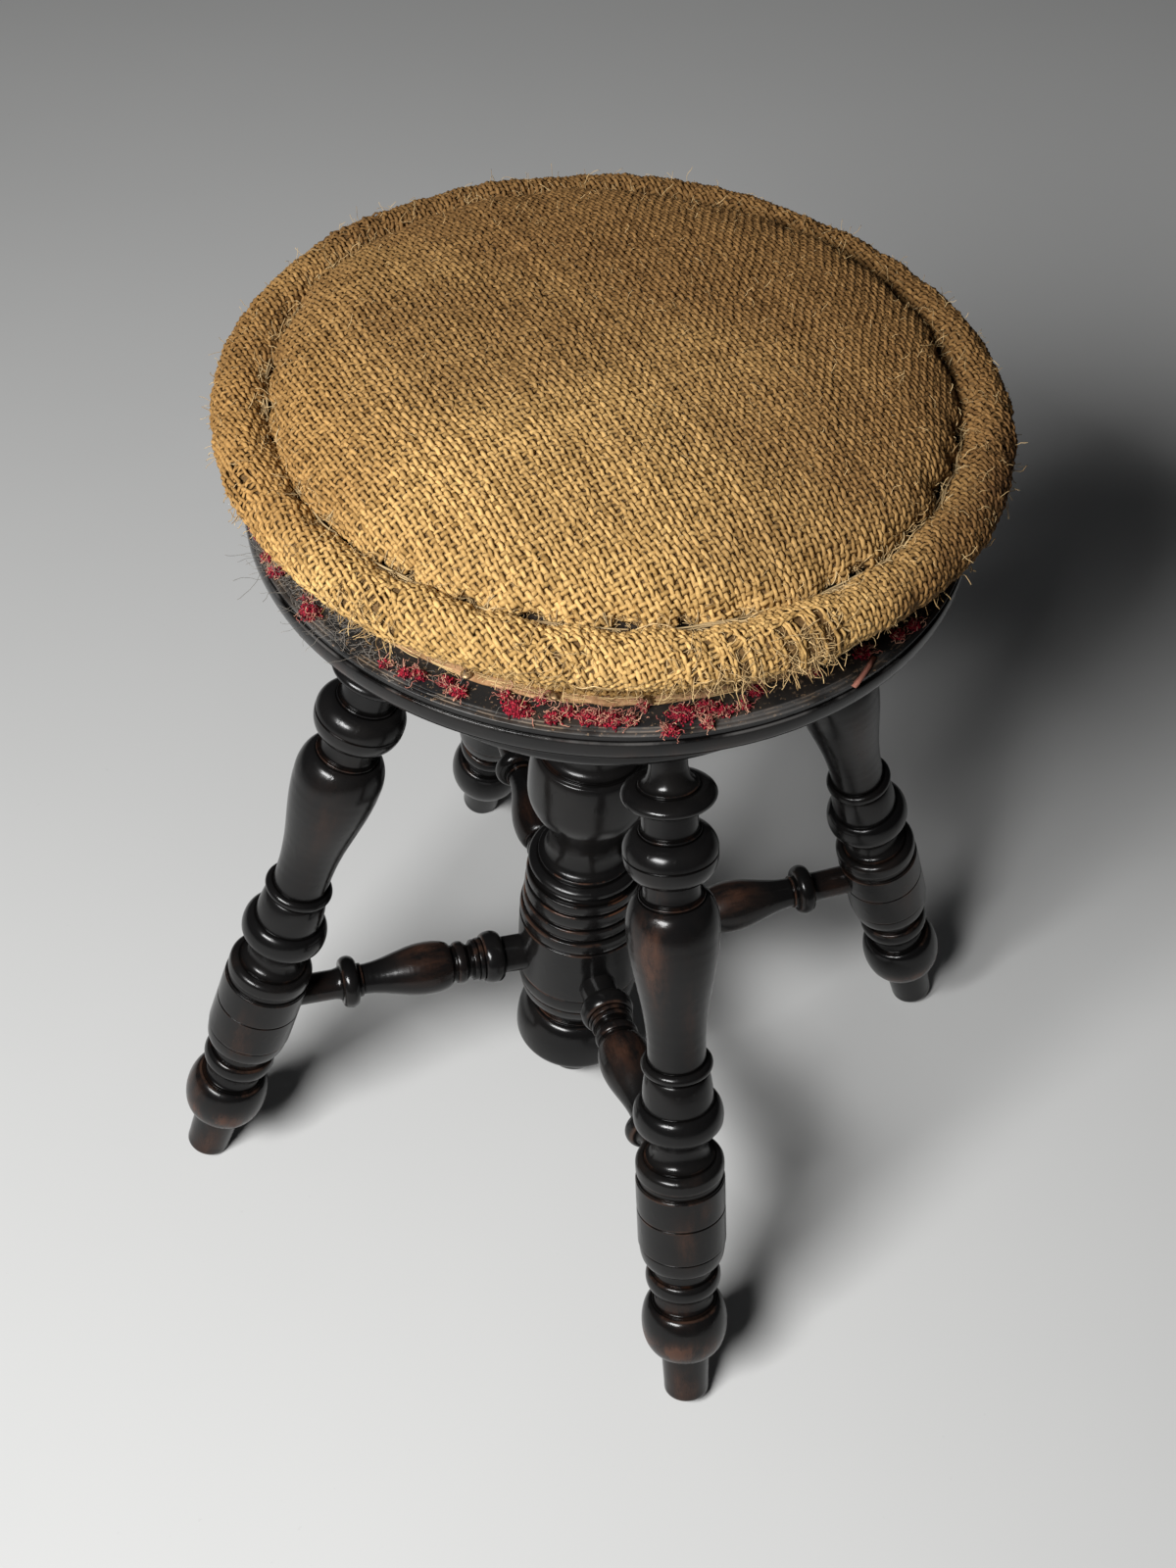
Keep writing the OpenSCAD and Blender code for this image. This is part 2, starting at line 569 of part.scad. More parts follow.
module leg_block() {
    color(wood_c) difference() {
        turned(block_points());
        for (turn = [front_turn, right_turn, back_turn, left_turn])
            on_leg(turn) translate([0, 0, leg_l - leg_tenon_l])
                cylinder(d = top_neck_d + 2 * glue_gap, h = 2 * leg_tenon_l + glue_gap);
        translate([0, 0, block_z - overrun])
            cylinder(d = column_tenon_d + 2 * glue_gap, h = column_tenon_l + glue_gap + overrun);
        translate([0, 0, block_z])
            cylinder(d = nut_d + 2 * nut_recess_gap, h = block_t + overrun);
        translate([0, 0, block_top - nut_flange_t])
            cylinder(d = nut_flange_d + 2 * nut_recess_gap, h = nut_flange_t + overrun);
        nut_screw_places() wood_screw_hole();
    }
}

module column() {
    color(wood_c) difference() {
        turned(column_points());
        translate([0, 0, screw_bottom - bore_floor_gap])
            cylinder(d = screw_d + 2 * wood_clear,
                     h = column_top - screw_bottom + bore_floor_gap + overrun);
        translate([0, 0, nut_bottom - part_gap])
            cylinder(d = nut_d + 2 * nut_recess_gap, h = column_top - nut_bottom + part_gap + overrun);
        for (turn = [front_turn, right_turn, back_turn, left_turn])
            on_stretcher(turn) translate([0, 0, column_face - stretcher_tenon_l - glue_gap])
                cylinder(d = stretcher_root_d + 2 * glue_gap, h = stretcher_tenon_l + root_l);
    }
}

// One leg: turned, bored for its stretcher, and its lowest edge worn flat on the floor
module leg(turn) {
    color(wood_c) difference() {
        on_leg(turn) turned(leg_points());
        on_stretcher(turn) translate([0, 0, leg_face - tip_l / 2])
            cylinder(d = stretcher_tip_d + 2 * glue_gap, h = tip_l / 2 + stretcher_tenon_l + glue_gap);
        rotate([0, 0, turn]) translate([foot_reach - peg_d, -peg_d, -peg_d])
            cube([2 * peg_d, 2 * peg_d, peg_d]);
    }
}

module stretcher(turn) {
    color(wood_c) on_stretcher(turn) turned(stretcher_points());
}

// Wood screws: a countersunk head with its face at the origin and the shank going up
wood_screw_tip_l = 3;
wood_screw_slot_w = 1.2;
wood_screw_slot_depth = 1;
function wood_screw_head_l() = (wood_screw_head_d - wood_screw_d) / 2;

module wood_screw() {
    difference() {
        turned([[0, 0], [wood_screw_head_d / 2, 0], [wood_screw_d / 2, wood_screw_head_l()],
                [wood_screw_d / 2, wood_screw_l - wood_screw_tip_l], [0, wood_screw_l]]);
        translate([-wood_screw_head_d, -wood_screw_slot_w / 2, -overrun])
            cube([2 * wood_screw_head_d, wood_screw_slot_w, wood_screw_slot_depth + overrun]);
    }
}

module wood_screw_hole() {
    grown = 2 * pilot_gap;
    translate([0, 0, -overrun]) cylinder(d = wood_screw_head_d + grown, h = overrun + pilot_gap);
    turned([[0, 0], [wood_screw_head_d / 2 + pilot_gap, 0], [wood_screw_head_d / 2 + pilot_gap, pilot_gap],
            [wood_screw_d / 2 + pilot_gap, wood_screw_head_l() + pilot_gap],
            [wood_screw_d / 2 + pilot_gap, wood_screw_l + pilot_gap], [0, wood_screw_l + pilot_gap]]);
}

nut_screw_count = 4;
nut_screw_ring_d = (nut_d + nut_flange_d) / 2;
plate_screw_count = 4;
plate_screw_ring_d = (hub_d + plate_d) / 2;

// The nut's screws point down into the block, with their heads flush with its top
module nut_screw_places() {
    for (i = [0:nut_screw_count - 1])
        rotate([0, 0, (i + 0.5) * 360 / nut_screw_count])
            translate([nut_screw_ring_d / 2, 0, block_top]) rotate([180, 0, 0]) children();
}

// The seat plate's screws point up into the board
module plate_screw_places() {
    for (i = [0:plate_screw_count - 1])
        rotate([0, 0, (i + 0.5) * 360 / plate_screw_count])
            translate([plate_screw_ring_d / 2, 0, plate_z]) children();
}

// The iron nut: a round flange let into the block, with a barrel below it
module screw_nut() {
    color(iron_c) difference() {
        union() {
            translate([0, 0, nut_bottom]) cylinder(d = nut_d, h = nut_l);
            translate([0, 0, block_top - nut_flange_t]) cylinder(d = nut_flange_d, h = nut_flange_t);
        }
        translate([0, 0, nut_bottom - overrun])
            cylinder(d = screw_d + 2 * screw_run, h = nut_l + 2 * overrun);
        nut_screw_places() wood_screw_hole();
    }
}

module nut_screws() {
    color(iron_c) nut_screw_places() wood_screw();
}

// The leather washer is glued under the hub, so it goes up and down with the seat
module thrust_washer() {
    color(leather_c) translate([0, 0, washer_z]) difference() {
        cylinder(d = washer_d, h = washer_t);
        translate([0, 0, -overrun]) cylinder(d = screw_d + 2 * part_gap, h = washer_t + 2 * overrun);
    }
}

// The lift screw: threaded rod with a tapered tip, riveted into the seat plate's hub
module lift_screw() {
    color(iron_c) turned([[0, screw_bottom], [screw_d / 2 - screw_tip_l, screw_bottom],
                          [screw_d / 2, screw_bottom + screw_tip_l], [screw_d / 2, board_z], [0, board_z]]);
}

plate_edge = 1;
module seat_plate() {
    color(iron_c) difference() {
        union() {
            translate([0, 0, hub_z]) cylinder(d = hub_d, h = hub_l + plate_t / 2);
            turned([[0, plate_z], [plate_d / 2 - plate_edge, plate_z], [plate_d / 2, plate_z + plate_edge],
                    [plate_d / 2, board_z], [0, board_z]]);
        }
        translate([0, 0, hub_z - overrun])
            cylinder(d = screw_d + 2 * pilot_gap, h = hub_l + plate_t + 2 * overrun);
        plate_screw_places() wood_screw_hole();
    }
}

module seat_plate_screws() {
    color(iron_c) plate_screw_places() wood_screw();
}

// The seat board: a flat ledge with two fine lines, a band, a half-round and a hollow under it
board_line_inset = 2.3;
board_line_step = 2;
board_line_depth = 0.4;
board_line_w = 0.9;
moulding_drop = 1;
under_hollow_w = 12;
band_depth = 0.8;
ledge_arris_l = 0.7;
ledge_edge_r = seat_d / 2 - band_inset;
board_arris_z = board_top - band_l - moulding_l;

function board_points() = concat(
    [[0, board_z]],
    [[seat_d / 2 - under_hollow_w, board_z]],
    up_arc([seat_d / 2 - under_hollow_w, board_z],
           [seat_d / 2 - moulding_drop - quirk_depth, board_arris_z - moulding_drop], smooth),
    [[seat_d / 2 - moulding_drop, board_arris_z - moulding_drop]],
    bead(board_arris_z, moulding_l, seat_d / 2 - moulding_drop, seat_d / 2,
         ledge_edge_r - quirk_depth / 4, full_share = 0.6, n = smooth),
    up_arc([ledge_edge_r - band_depth, board_top - band_l],
           [ledge_edge_r - quirk_depth / 4, board_top - ledge_arris_l]),
    [[ledge_edge_r, board_top - ledge_arris_l],
     [ledge_edge_r, board_top - quirk_depth / 4], [ledge_edge_r - quirk_depth / 4, board_top]],
    [for (i = [0:1]) let (r = ledge_edge_r - board_line_inset - i * board_line_step)
        each [[r + board_line_w / 2, board_top], [r, board_top - board_line_depth],
              [r - board_line_w / 2, board_top]]],
    [[0, board_top]]);

module seat_board() {
    color(wood_c) difference() {
        turned(board_points());
        plate_screw_places() wood_screw_hole();
        tack_places() tack_hole();
    }
}

// Upholstery. The roll lies on the border, the pad's crown rises inside it
roll_r = seat_d / 2 + roll_overhang - roll_d / 2;
roll_z = board_top + roll_rise;
border_r = seat_d / 2 - ledge_w;
crown_z = board_top + crown_rise;
cloth_gap = 0.1;
valley_angle = 138;
border_angle = 252;
crown_power = 2.6;

// A point beside the roll's section, a little clear of it, at an angle about its middle
function by_roll(a, gap) = [roll_r + (roll_d / 2 + gap) * cos(a), roll_z + (roll_d / 2 + gap) * sin(a)];
seat_steps = 12;
seat_step = (valley_angle - border_angle) / seat_steps;
// Chords round the roll lie nearer to it than their ends do, so those stand off by this much
chord_gap = roll_d / 2 * (1 / cos(seat_step / 2) - 1);
valley = by_roll(valley_angle, cloth_gap + hessian_t);
// The crown's outline from the valley in to the middle, sunk by the thickness of the cover
function crown_points(sink) = [for (i = [0:16]) let (u = 1 - pow(i / 16, 1.6))
    [valley[0] * u, valley[1] - sink + (crown_z - valley[1]) * sqrt(1 - pow(u, crown_power))]];
// The pad's side against the roll, from the border up to the valley
function roll_seat(gap) = [for (i = [0:seat_steps])
    by_roll(border_angle + seat_step * i, gap + chord_gap)];
// The border's face from the ledge up to the roll, drawn in at its foot, grown by t
border_foot = [border_r - hessian_t, board_top];
border_head = by_roll(border_angle, cloth_gap + chord_gap);
// The cloth's thickness at its head, as an angle round the roll
border_lip = by_roll(border_angle + hessian_t / (roll_d / 2) * 180 / PI, cloth_gap);
function border_face(t) = [for (i = [0:6]) let (u = i / 6)
    [border_foot[0] + t + (border_head[0] - border_foot[0]) * pow(u, 1.5),
     border_foot[1] + (border_head[1] - border_foot[1]) * u]];

// The horsehair stuffing, closed by the board below and by hessian all round
module stuffing() {
    color(stuffing_c) turned(concat([[0, board_top]], border_face(0),
        roll_seat(cloth_gap), crown_points(hessian_t)));
}

// The hessian over the crown, tucked down inside the roll
module hessian_cover() {
    inner = crown_points(hessian_t);
    outer = crown_points(0);
    color(hessian_c) turned(concat(outer, [for (i = [len(inner) - 1:-1:0]) inner[i]]));
}

module edge_roll() {
    color(hessian_c) translate([0, 0, roll_z]) rotate_extrude()
        translate([roll_r, 0]) circle(d = roll_d);
}

// The border: a strip of hessian up the pad's side, with its hem turned out on the ledge
hem_bend_r = border_foot[0] + cloth_gap + 1.5 * hessian_t;
module border_band() {
    inner = border_face(cloth_gap);
    outer = [for (p = border_face(cloth_gap + hessian_t)) if (p[1] > board_top + hessian_t) p];
    color(hessian_c) difference() {
        turned(concat(
            [[border_foot[0] + cloth_gap, board_top], [border_foot[0] + hem_w, board_top],
             [border_foot[0] + hem_w, board_top + hessian_t], [hem_bend_r, board_top + hessian_t]],
            [for (i = [0:len(outer) - 2]) outer[i]], [border_lip],
            [for (i = [len(inner) - 2:-1:1]) inner[i]]));
        tack_places() tack_hole();
    }
}

// Tacks through the hem. The head's underside is at the origin, the shank goes down
tack_shank_d = 1.6;
tack_shank_l = 9;
tack_head_l = 1.6;
tack_turn_share = 0.3;
module tack_places() {
    for (i = [0:tack_count - 1])
        rotate([0, 0, (i + tack_turn_share) * 360 / tack_count])
            translate([hem_bend_r + cloth_gap + tack_head_d / 2, 0, board_top + hessian_t]) children();
}

module tack() {
    turned(concat([[0, -tack_shank_l], [tack_shank_d / 2, -tack_shank_l + tack_shank_d],
                   [tack_shank_d / 2, 0], [tack_head_d / 2, 0]],
                  up_arc([tack_head_d / 2, 0], [0, tack_head_l])));
}

module tack_hole() {
    translate([0, 0, -tack_shank_l - pilot_gap])
        cylinder(d = tack_shank_d + 2 * pilot_gap, h = tack_shank_l + pilot_gap + overrun);
}

module upholstery_tacks() {
    color(brass_c) tack_places() tack();
}

// Torn scraps of the velvet top cover, left on the ledge: where each starts and how far it
// runs in degrees, and its inner and outer edge as shares of the free ledge
velvet_places = [[-179, 4], [-172, 3], [-161, 3.5], [-145, 2.6], [-140.5, 5], [-133.5, 4],
                 [-124, 8.5], [-111, 8.5], [-100.5, 9.5], [-87, 11], [-65, 8], [24, 5], [71, 7],
                 [118, 4], [152, 6]];
velvet_shares = [[0.1, 0.7], [0.2, 0.75], [0.1, 0.6], [0.25, 0.8], [0.15, 0.85], [0.3, 0.95],
                 [0.05, 0.95], [0.1, 0.9], [0.05, 0.95], [0.1, 0.8], [0.2, 0.85], [0.1, 0.7],
                 [0.15, 0.9], [0.1, 0.6], [0.2, 0.8]];
velvet_in_r = border_foot[0] + hem_w + part_gap;
velvet_out_r = ledge_edge_r - board_line_inset - board_line_step - board_line_w;
module velvet_remnants() {
    room = velvet_out_r - velvet_in_r;
    color(velvet_c) for (i = [0:len(velvet_places) - 1])
        rotate([0, 0, velvet_places[i][0]]) translate([0, 0, board_top])
            rotate_extrude(angle = velvet_places[i][1])
                translate([velvet_in_r + room * velvet_shares[i][0], 0])
                    square([room * (velvet_shares[i][1] - velvet_shares[i][0]), velvet_t]);
}

module leg_front() { leg(front_turn); }
module leg_right() { leg(right_turn); }
module leg_back() { leg(back_turn); }
module leg_left() { leg(left_turn); }
module stretcher_front() { stretcher(front_turn); }
module stretcher_right() { stretcher(right_turn); }
module stretcher_back() { stretcher(back_turn); }
module stretcher_left() { stretcher(left_turn); }

leg_block();
column();
leg_front();
leg_right();
leg_back();
leg_left();
stretcher_front();
stretcher_right();
stretcher_back();
stretcher_left();
screw_nut();
nut_screws();
thrust_washer();
seat_board();
seat_plate();
seat_plate_screws();
lift_screw();
stuffing();
hessian_cover();
edge_roll();
border_band();
upholstery_tacks();
velvet_remnants();
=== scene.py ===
"""Dresses the revolving piano stool: turned ebonised wood, iron screw and a frayed hessian seat."""
import math

import bmesh
import bpy
import numpy as np
from mathutils import Matrix, Vector


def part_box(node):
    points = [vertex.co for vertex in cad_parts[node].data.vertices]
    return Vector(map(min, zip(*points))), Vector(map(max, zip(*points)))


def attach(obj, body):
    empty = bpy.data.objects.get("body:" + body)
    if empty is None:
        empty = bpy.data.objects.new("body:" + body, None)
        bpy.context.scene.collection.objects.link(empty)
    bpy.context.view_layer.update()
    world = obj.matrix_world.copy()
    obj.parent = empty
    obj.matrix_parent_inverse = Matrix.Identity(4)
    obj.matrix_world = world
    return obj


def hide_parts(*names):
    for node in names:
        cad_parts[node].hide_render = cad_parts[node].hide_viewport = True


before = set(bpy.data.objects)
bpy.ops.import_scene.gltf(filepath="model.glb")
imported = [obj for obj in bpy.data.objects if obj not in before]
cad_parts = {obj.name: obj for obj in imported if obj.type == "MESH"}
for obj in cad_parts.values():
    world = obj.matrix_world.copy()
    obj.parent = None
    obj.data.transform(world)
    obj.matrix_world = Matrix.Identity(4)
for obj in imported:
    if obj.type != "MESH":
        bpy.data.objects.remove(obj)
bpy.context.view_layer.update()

# Sizes are in millimetres up to the line that makes a mesh
MM = 0.001
TAU = 2 * math.pi


def box_mm(node):
    """Lowest and highest corner of a CAD node, in millimetres."""
    low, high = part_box(node)
    return np.array(low) / MM, np.array(high) / MM


# A leg's axis meets the floor so far out and leans in by so much. A stretcher's leaves the
# column's axis at this height and rises to the leg
FOOT_REACH = 219.7
LEG_LEAN = math.radians(17.35)
SIDES = {"front": -90, "right": 0, "back": 90, "left": 180}
DRUM_MORTISE_Z = 116.5124
STRETCHER_RISE = math.radians(2.6108304)

# The seat: its sizes come from the frame, apart from the cloth's own
BOARD_TOP = box_mm("seat_board")[1][2]
VALLEY_R = box_mm("hessian_cover")[1][0]
CROWN_Z = box_mm("hessian_cover")[1][2]
HESSIAN_T = 1.3
VALLEY_Z = box_mm("hessian_cover")[0][2] - 0.5
ROLL_LOW, ROLL_HIGH = box_mm("edge_roll")
ROLL_SECTION_R = (ROLL_HIGH[2] - ROLL_LOW[2]) / 2
ROLL_Z = (ROLL_HIGH[2] + ROLL_LOW[2]) / 2
ROLL_R = ROLL_HIGH[0] - ROLL_SECTION_R
BORDER_TOP_R = box_mm("border_band")[1][0]
BORDER_TOP_Z = ROLL_Z - 9
BORDER_FOOT_R = 139.2
HEM_W = 5.6

# The weave of the hessian. Its warp and weft lie along these ways, seen from above
WARP_PITCH = 2.5
WEFT_PITCH = 3.1
WARP_WAY = math.radians(102.5)
WEFT_WAY = math.radians(15.5)
THREAD_W = 2.15
THREAD_T = 1.0
CRIMP = 0.5


def rng(seed):
    """A seeded source of random numbers."""
    return np.random.default_rng(seed)


def waves(points, size, seed, count=10):
    """Smooth noise at (n, d) points, mostly from -1 to 1, with bumps about size across."""
    source = rng(seed)
    points = np.atleast_2d(points)
    ways = source.normal(size=(count, points.shape[1]))
    ways /= np.linalg.norm(ways, axis=1)[:, None]
    ways *= (TAU / (size * source.uniform(1.2, 3.2, count)))[:, None]
    return np.sin(points @ ways.T + source.uniform(0, TAU, count)).sum(1) / math.sqrt(count)


def fade(value, low, high):
    """0 below low, 1 above high and an eased slope between."""
    t = np.clip((value - low) / (high - low), 0, 1)
    return t * t * (3 - 2 * t)


# Places round the axis

def round_turns(count):
    """The angles of so many equal steps round."""
    return TAU * np.arange(count) / count


def round_points(r, turn, z):
    """Points from radii, angles and heights, with x, y and z along the last axis."""
    return np.stack(np.broadcast_arrays(r * np.cos(turn), r * np.sin(turn), z), axis=-1)


def on_rim(turn, r=150):
    """Flat places on a circle, for noise that meets itself after a turn."""
    return np.stack([np.cos(turn), np.sin(turn)], 1) * r


def wrap_quads(rows, sides, closed=False):
    """The faces of a (rows, sides) grid of points that goes round in its sides, and from its
    last row back to the first if it is closed."""
    count = rows * sides
    row = sides * np.arange(rows if closed else rows - 1)[:, None]
    first, beside = row + np.arange(sides), row + (np.arange(sides) + 1) % sides
    quads = np.stack([first, beside, (beside + sides) % count, (first + sides) % count], axis=2)
    return quads.reshape(-1, 4)


# Meshes

def new_object(name, data):
    made = bpy.data.objects.new(name, data)
    bpy.context.scene.collection.objects.link(made)
    return made


def add_piece(name, points, faces, material, replaces=(), values=None, body="seat"):
    """Makes a mesh piece from points in millimetres and arrays of faces with equal corners."""
    faces = [f for f in faces if len(f)]
    mesh = bpy.data.meshes.new(name)
    mesh.vertices.add(len(points))
    mesh.vertices.foreach_set("co", (np.asarray(points) * MM).astype(np.float32).ravel())
    corners = np.concatenate([f.ravel() for f in faces]).astype(np.int32)
    sizes = np.concatenate([np.full(len(f), f.shape[1]) for f in faces])
    starts = np.concatenate([[0], np.cumsum(sizes)[:-1]]).astype(np.int32)
    mesh.loops.add(len(corners))
    mesh.loops.foreach_set("vertex_index", corners)
    mesh.polygons.add(len(sizes))
    mesh.polygons.foreach_set("loop_start", starts)
    mesh.polygons.foreach_set("use_smooth", np.ones(len(sizes), bool))
    mesh.update(calc_edges=True)
    for key, value in (values or {}).items():
        flat = np.ndim(value) == 1
        made = mesh.attributes.new(key, "FLOAT" if flat else "FLOAT_VECTOR", "POINT")
        made.data.foreach_set("value" if flat else "vector", np.asarray(value, np.float32).ravel())
    mesh.materials.append(material)
    piece = new_object(name, mesh)
    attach(piece, body)
    if replaces:
        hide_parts(*replaces)
    return piece


class Strands:
    """Many threads or fibres, gathered into one mesh."""

    def __init__(self):
        self.points, self.quads, self.caps, self.shade, self.count = [], [], [], [], 0

    def add(self, line, up, wide, deep, shade=0.5, sides=4):
        """One strand along line, an (n, 3) array; up is the way that its thin side faces."""
        n = len(line)
        if n < 2:
            return
        ahead = np.gradient(line, axis=0)
        ahead /= np.linalg.norm(ahead, axis=1)[:, None] + 1e-9
        side = np.cross(ahead, np.broadcast_to(up, line.shape))
        side /= np.linalg.norm(side, axis=1)[:, None] + 1e-9
        top = np.cross(side, ahead)
        turns = round_turns(sides)
        half_w = np.broadcast_to(np.asarray(wide) / 2, n)[:, None, None]
        half_t = np.broadcast_to(np.asarray(deep) / 2, n)[:, None, None]
        ring = (line[:, None, :] + half_w * np.cos(turns)[None, :, None] * side[:, None, :]
                + half_t * np.sin(turns)[None, :, None] * top[:, None, :])
        self.points.append(ring.reshape(-1, 3))
        self.quads.append(self.count + wrap_quads(n, sides))
        last = self.count + sides * (n - 1)
        self.caps.append(np.array([self.count + np.arange(sides)[::-1], last + np.arange(sides)]))
        self.shade.append(np.repeat(np.broadcast_to(shade, n), sides))
        self.count += n * sides

    def fibre(self, source, start, way, length, steps, curl, thick, shade, lowest=-math.inf):
        """A loose fibre; its length and its shade are drawn from two ranges."""
        line = wander(start, way, source.uniform(*length), steps, source, curl)
        line[:, 2] = np.maximum(line[:, 2], lowest)
        self.add(line, (0, 0, 1), *thick, source.uniform(*shade), 3)

    def build(self, name, material, slot="hessian", replaces=()):
        caps = {}
        for pair in self.caps:
            caps.setdefault(pair.shape[1], []).append(pair)
        faces = [np.concatenate(self.quads)] + [np.concatenate(c) for c in caps.values()]
        return add_piece(name, np.concatenate(self.points), faces, material, replaces,
                         {"shade": np.concatenate(self.shade)})


# How finely the vertices of a turned CAD node are sorted into rings, in millimetres
OUTLINE_GRID = 0.02


def outline_of(node, placing, least=20):
    """The outline that a turned CAD node was made from: (radius, height) points in order, in
    millimetres along the axis of placing, and whether it is closed. Rings of vertices at least
    so many angles round are its points, and mesh edges between two rings join them."""
    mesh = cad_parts[node].data
    co = np.zeros(len(mesh.vertices) * 3, np.float32)
    mesh.vertices.foreach_get("co", co)
    back = np.array(placing.inverted())
    co = (co.reshape(-1, 3) @ back[:3, :3].T + back[:3, 3]) / MM
    turn = np.round(np.degrees(np.arctan2(co[:, 1], co[:, 0])))
    grid = np.round(np.stack([np.hypot(co[:, 0], co[:, 1]), co[:, 2]], 1) / OUTLINE_GRID)
    spots, which, count = np.unique(grid.astype(int), axis=0, return_inverse=True,
                                    return_counts=True)
    which = which.ravel()
    into, lead = np.arange(len(spots)), []
    for i in np.argsort(-count):
        near = [j for j in lead if abs(spots[j] - spots[i]).max() <= 2]
        if near:
            into[i] = near[0]
        else:
            lead.append(i)
    which = into[which]
    kept = [i for i in lead if len(np.unique(turn[which == i])) >= least]
    whole = np.isin(np.arange(len(spots)), kept)
    edges = np.zeros(len(mesh.edges) * 2, np.int32)
    mesh.edges.foreach_get("vertices", edges)
    pairs = which[edges.reshape(-1, 2)]
    pairs = pairs[(pairs[:, 0] != pairs[:, 1]) & whole[pairs].all(1)]
    beside = {i: set() for i in kept}
    for a, b in np.unique(pairs, axis=0):
        beside[a].add(b)
        beside[b].add(a)
    ends = [i for i in kept if len(beside[i]) == 1]
    order = [min(ends or kept, key=lambda i: (spots[i][1], spots[i][0]))]
    while True:
        ahead = [i for i in beside[order[-1]] if i not in order]
        if not ahead:
            return spots[order] * OUTLINE_GRID, not ends
        order.append(ahead[0])


def is_corner(points, closed, sharp=math.radians(38), lead=1.8):
    """Which outline points are corners: they turn sharply, and clearly more than the points
    beside them do the same way. The crest of a bead is none, because its neighbours share the
    turn."""
    before = points - np.roll(points, 1, axis=0)
    after = np.roll(points, -1, axis=0) - points
    turn = np.arctan2(before[:, 0] * after[:, 1] - before[:, 1] * after[:, 0],
                      (before * after).sum(1))
    if not closed:
        turn[[0, -1]] = 0
    beside = np.maximum(*(np.where(np.roll(turn, way) * turn > 0, np.abs(np.roll(turn, way)), 0)
                          for way in (1, -1)))
    return (np.abs(turn) > sharp) & (np.abs(turn) > lead * beside)


def eased_outline(points, closed=False, ease_r=0.3, handle=0.34, longest_step=1.6):
    """Smooths an outline: sharp corners get a small round, and what lies between them becomes
    curves through the points. A handle is never longer than a third of its shorter side, so
    straight stretches stay straight."""
    points = np.asarray(points, float)
    if not closed:
        points = np.vstack([[0, points[0][1]], points, [0, points[-1][1]]])
    n = len(points)
    kept = []
    for i, (p, corner) in enumerate(zip(points, is_corner(points, closed))):
        if corner:
            before, after = points[i - 1] - p, points[(i + 1) % n] - p
            lb, la = np.linalg.norm(before), np.linalg.norm(after)
            kept += [p + before / lb * min(ease_r, 0.3 * lb),
                     p + after / la * min(ease_r, 0.3 * la)]
        else:
            kept.append(p)
    kept = np.array(kept)
    n = len(kept)
    sides = np.roll(kept, -1, axis=0) - kept
    lengths = np.linalg.norm(sides, axis=1) + 1e-9
    ways = sides / lengths[:, None]
    bend = ways + np.roll(ways, 1, axis=0)
    bend /= np.linalg.norm(bend, axis=1)[:, None] + 1e-9
    reach = handle * np.minimum(lengths, np.roll(lengths, 1))
    made = []
    last = n if closed else n - 1
    for i in range(last):
        j = (i + 1) % n
        p, q = kept[i], kept[j]
        a = p + bend[i] * reach[i] if closed or i else p
        b = q - bend[j] * reach[j] if closed or j < n - 1 else q
        steps = max(3, int(math.ceil(lengths[i] / longest_step)))
        for t in np.arange(steps) / steps:
            made.append((1 - t) ** 3 * p + 3 * (1 - t) ** 2 * t * a + 3 * (1 - t) * t * t * b
                        + t ** 3 * q)
    if not closed:
        made.append(kept[-1])
    return np.array(made)


def outline_wear(points, closed, spread=0.7, sharp=1.6):
    """How far each outline point lies on an outside edge and in an inside corner, 0 to 1. A turn
    of sharp radians within the spread in millimetres counts in full."""
    ahead = np.roll(points, -1, axis=0) - points
    if not closed:
        ahead[-1] = ahead[-2]
    angle = np.unwrap(np.arctan2(ahead[:, 1], ahead[:, 0]))
    turn = angle - np.roll(angle, 1)
    turn = (turn + math.pi) % TAU - math.pi
    if not closed:
        turn[0] = turn[-1] = 0
    along = np.concatenate([[0], np.cumsum(np.linalg.norm(np.diff(points, axis=0), axis=1))])
    near = np.exp(-((along[:, None] - along[None, :]) / spread) ** 2)
    edge = near @ np.maximum(turn, 0)
    inside = near @ np.maximum(-turn, 0)
    return np.clip(edge / sharp, 0, 1), np.clip(inside / sharp, 0, 1)


def turned(node, placing=Matrix.Identity(4), sides=96, worn=(), least=20, body="base",
           name=None, material=None):
    """A smooth turned piece in place of a CAD node, along the axis of placing.

    worn holds (height, angle, half height, half width in degrees, strength) of bare patches."""
    raw, closed = outline_of(node, placing, least)
    outline = eased_outline(raw, closed)
    edge, inside = outline_wear(outline, closed)
    points = round_points(outline[:, 0, None], round_turns(sides), outline[:, 1, None])
    points = points.reshape(-1, 3)
    patch = np.zeros(len(points))
    for height, angle, half_h, half_w, strength in worn:
        off = (np.degrees(np.arctan2(points[:, 1], points[:, 0])) - angle + 180) % 360 - 180
        patch = np.maximum(patch, strength * np.exp(-((points[:, 2] - height) / half_h) ** 2
                                                    - (off / half_w) ** 2))
    values = {"edge": np.repeat(edge, sides), "inside": np.repeat(inside, sides), "worn": patch,
              "place": points * MM}
    there = np.array(placing)
    points = points @ there[:3, :3].T + there[:3, 3] / MM
    # The pegs are worn flat where they stand on the floor
    points[:, 2] = np.maximum(points[:, 2], 0)
    quads = wrap_quads(len(outline), sides, closed)
    piece = add_piece(name or "turned_" + node, points, [quads], material or ebony,
                      (node,), values, body)
    if not closed:
        close_poles(piece, sides)


def close_poles(piece, sides):
    """Joins the first and the last ring, which have no width, into single points."""
    work = bmesh.new()
    work.from_mesh(piece.data)
    work.verts.ensure_lookup_table()
    bmesh.ops.remove_doubles(work, verts=work.verts[:sides] + work.verts[-sides:], dist=1e-6)
    work.to_mesh(piece.data)
    work.free()


# Materials

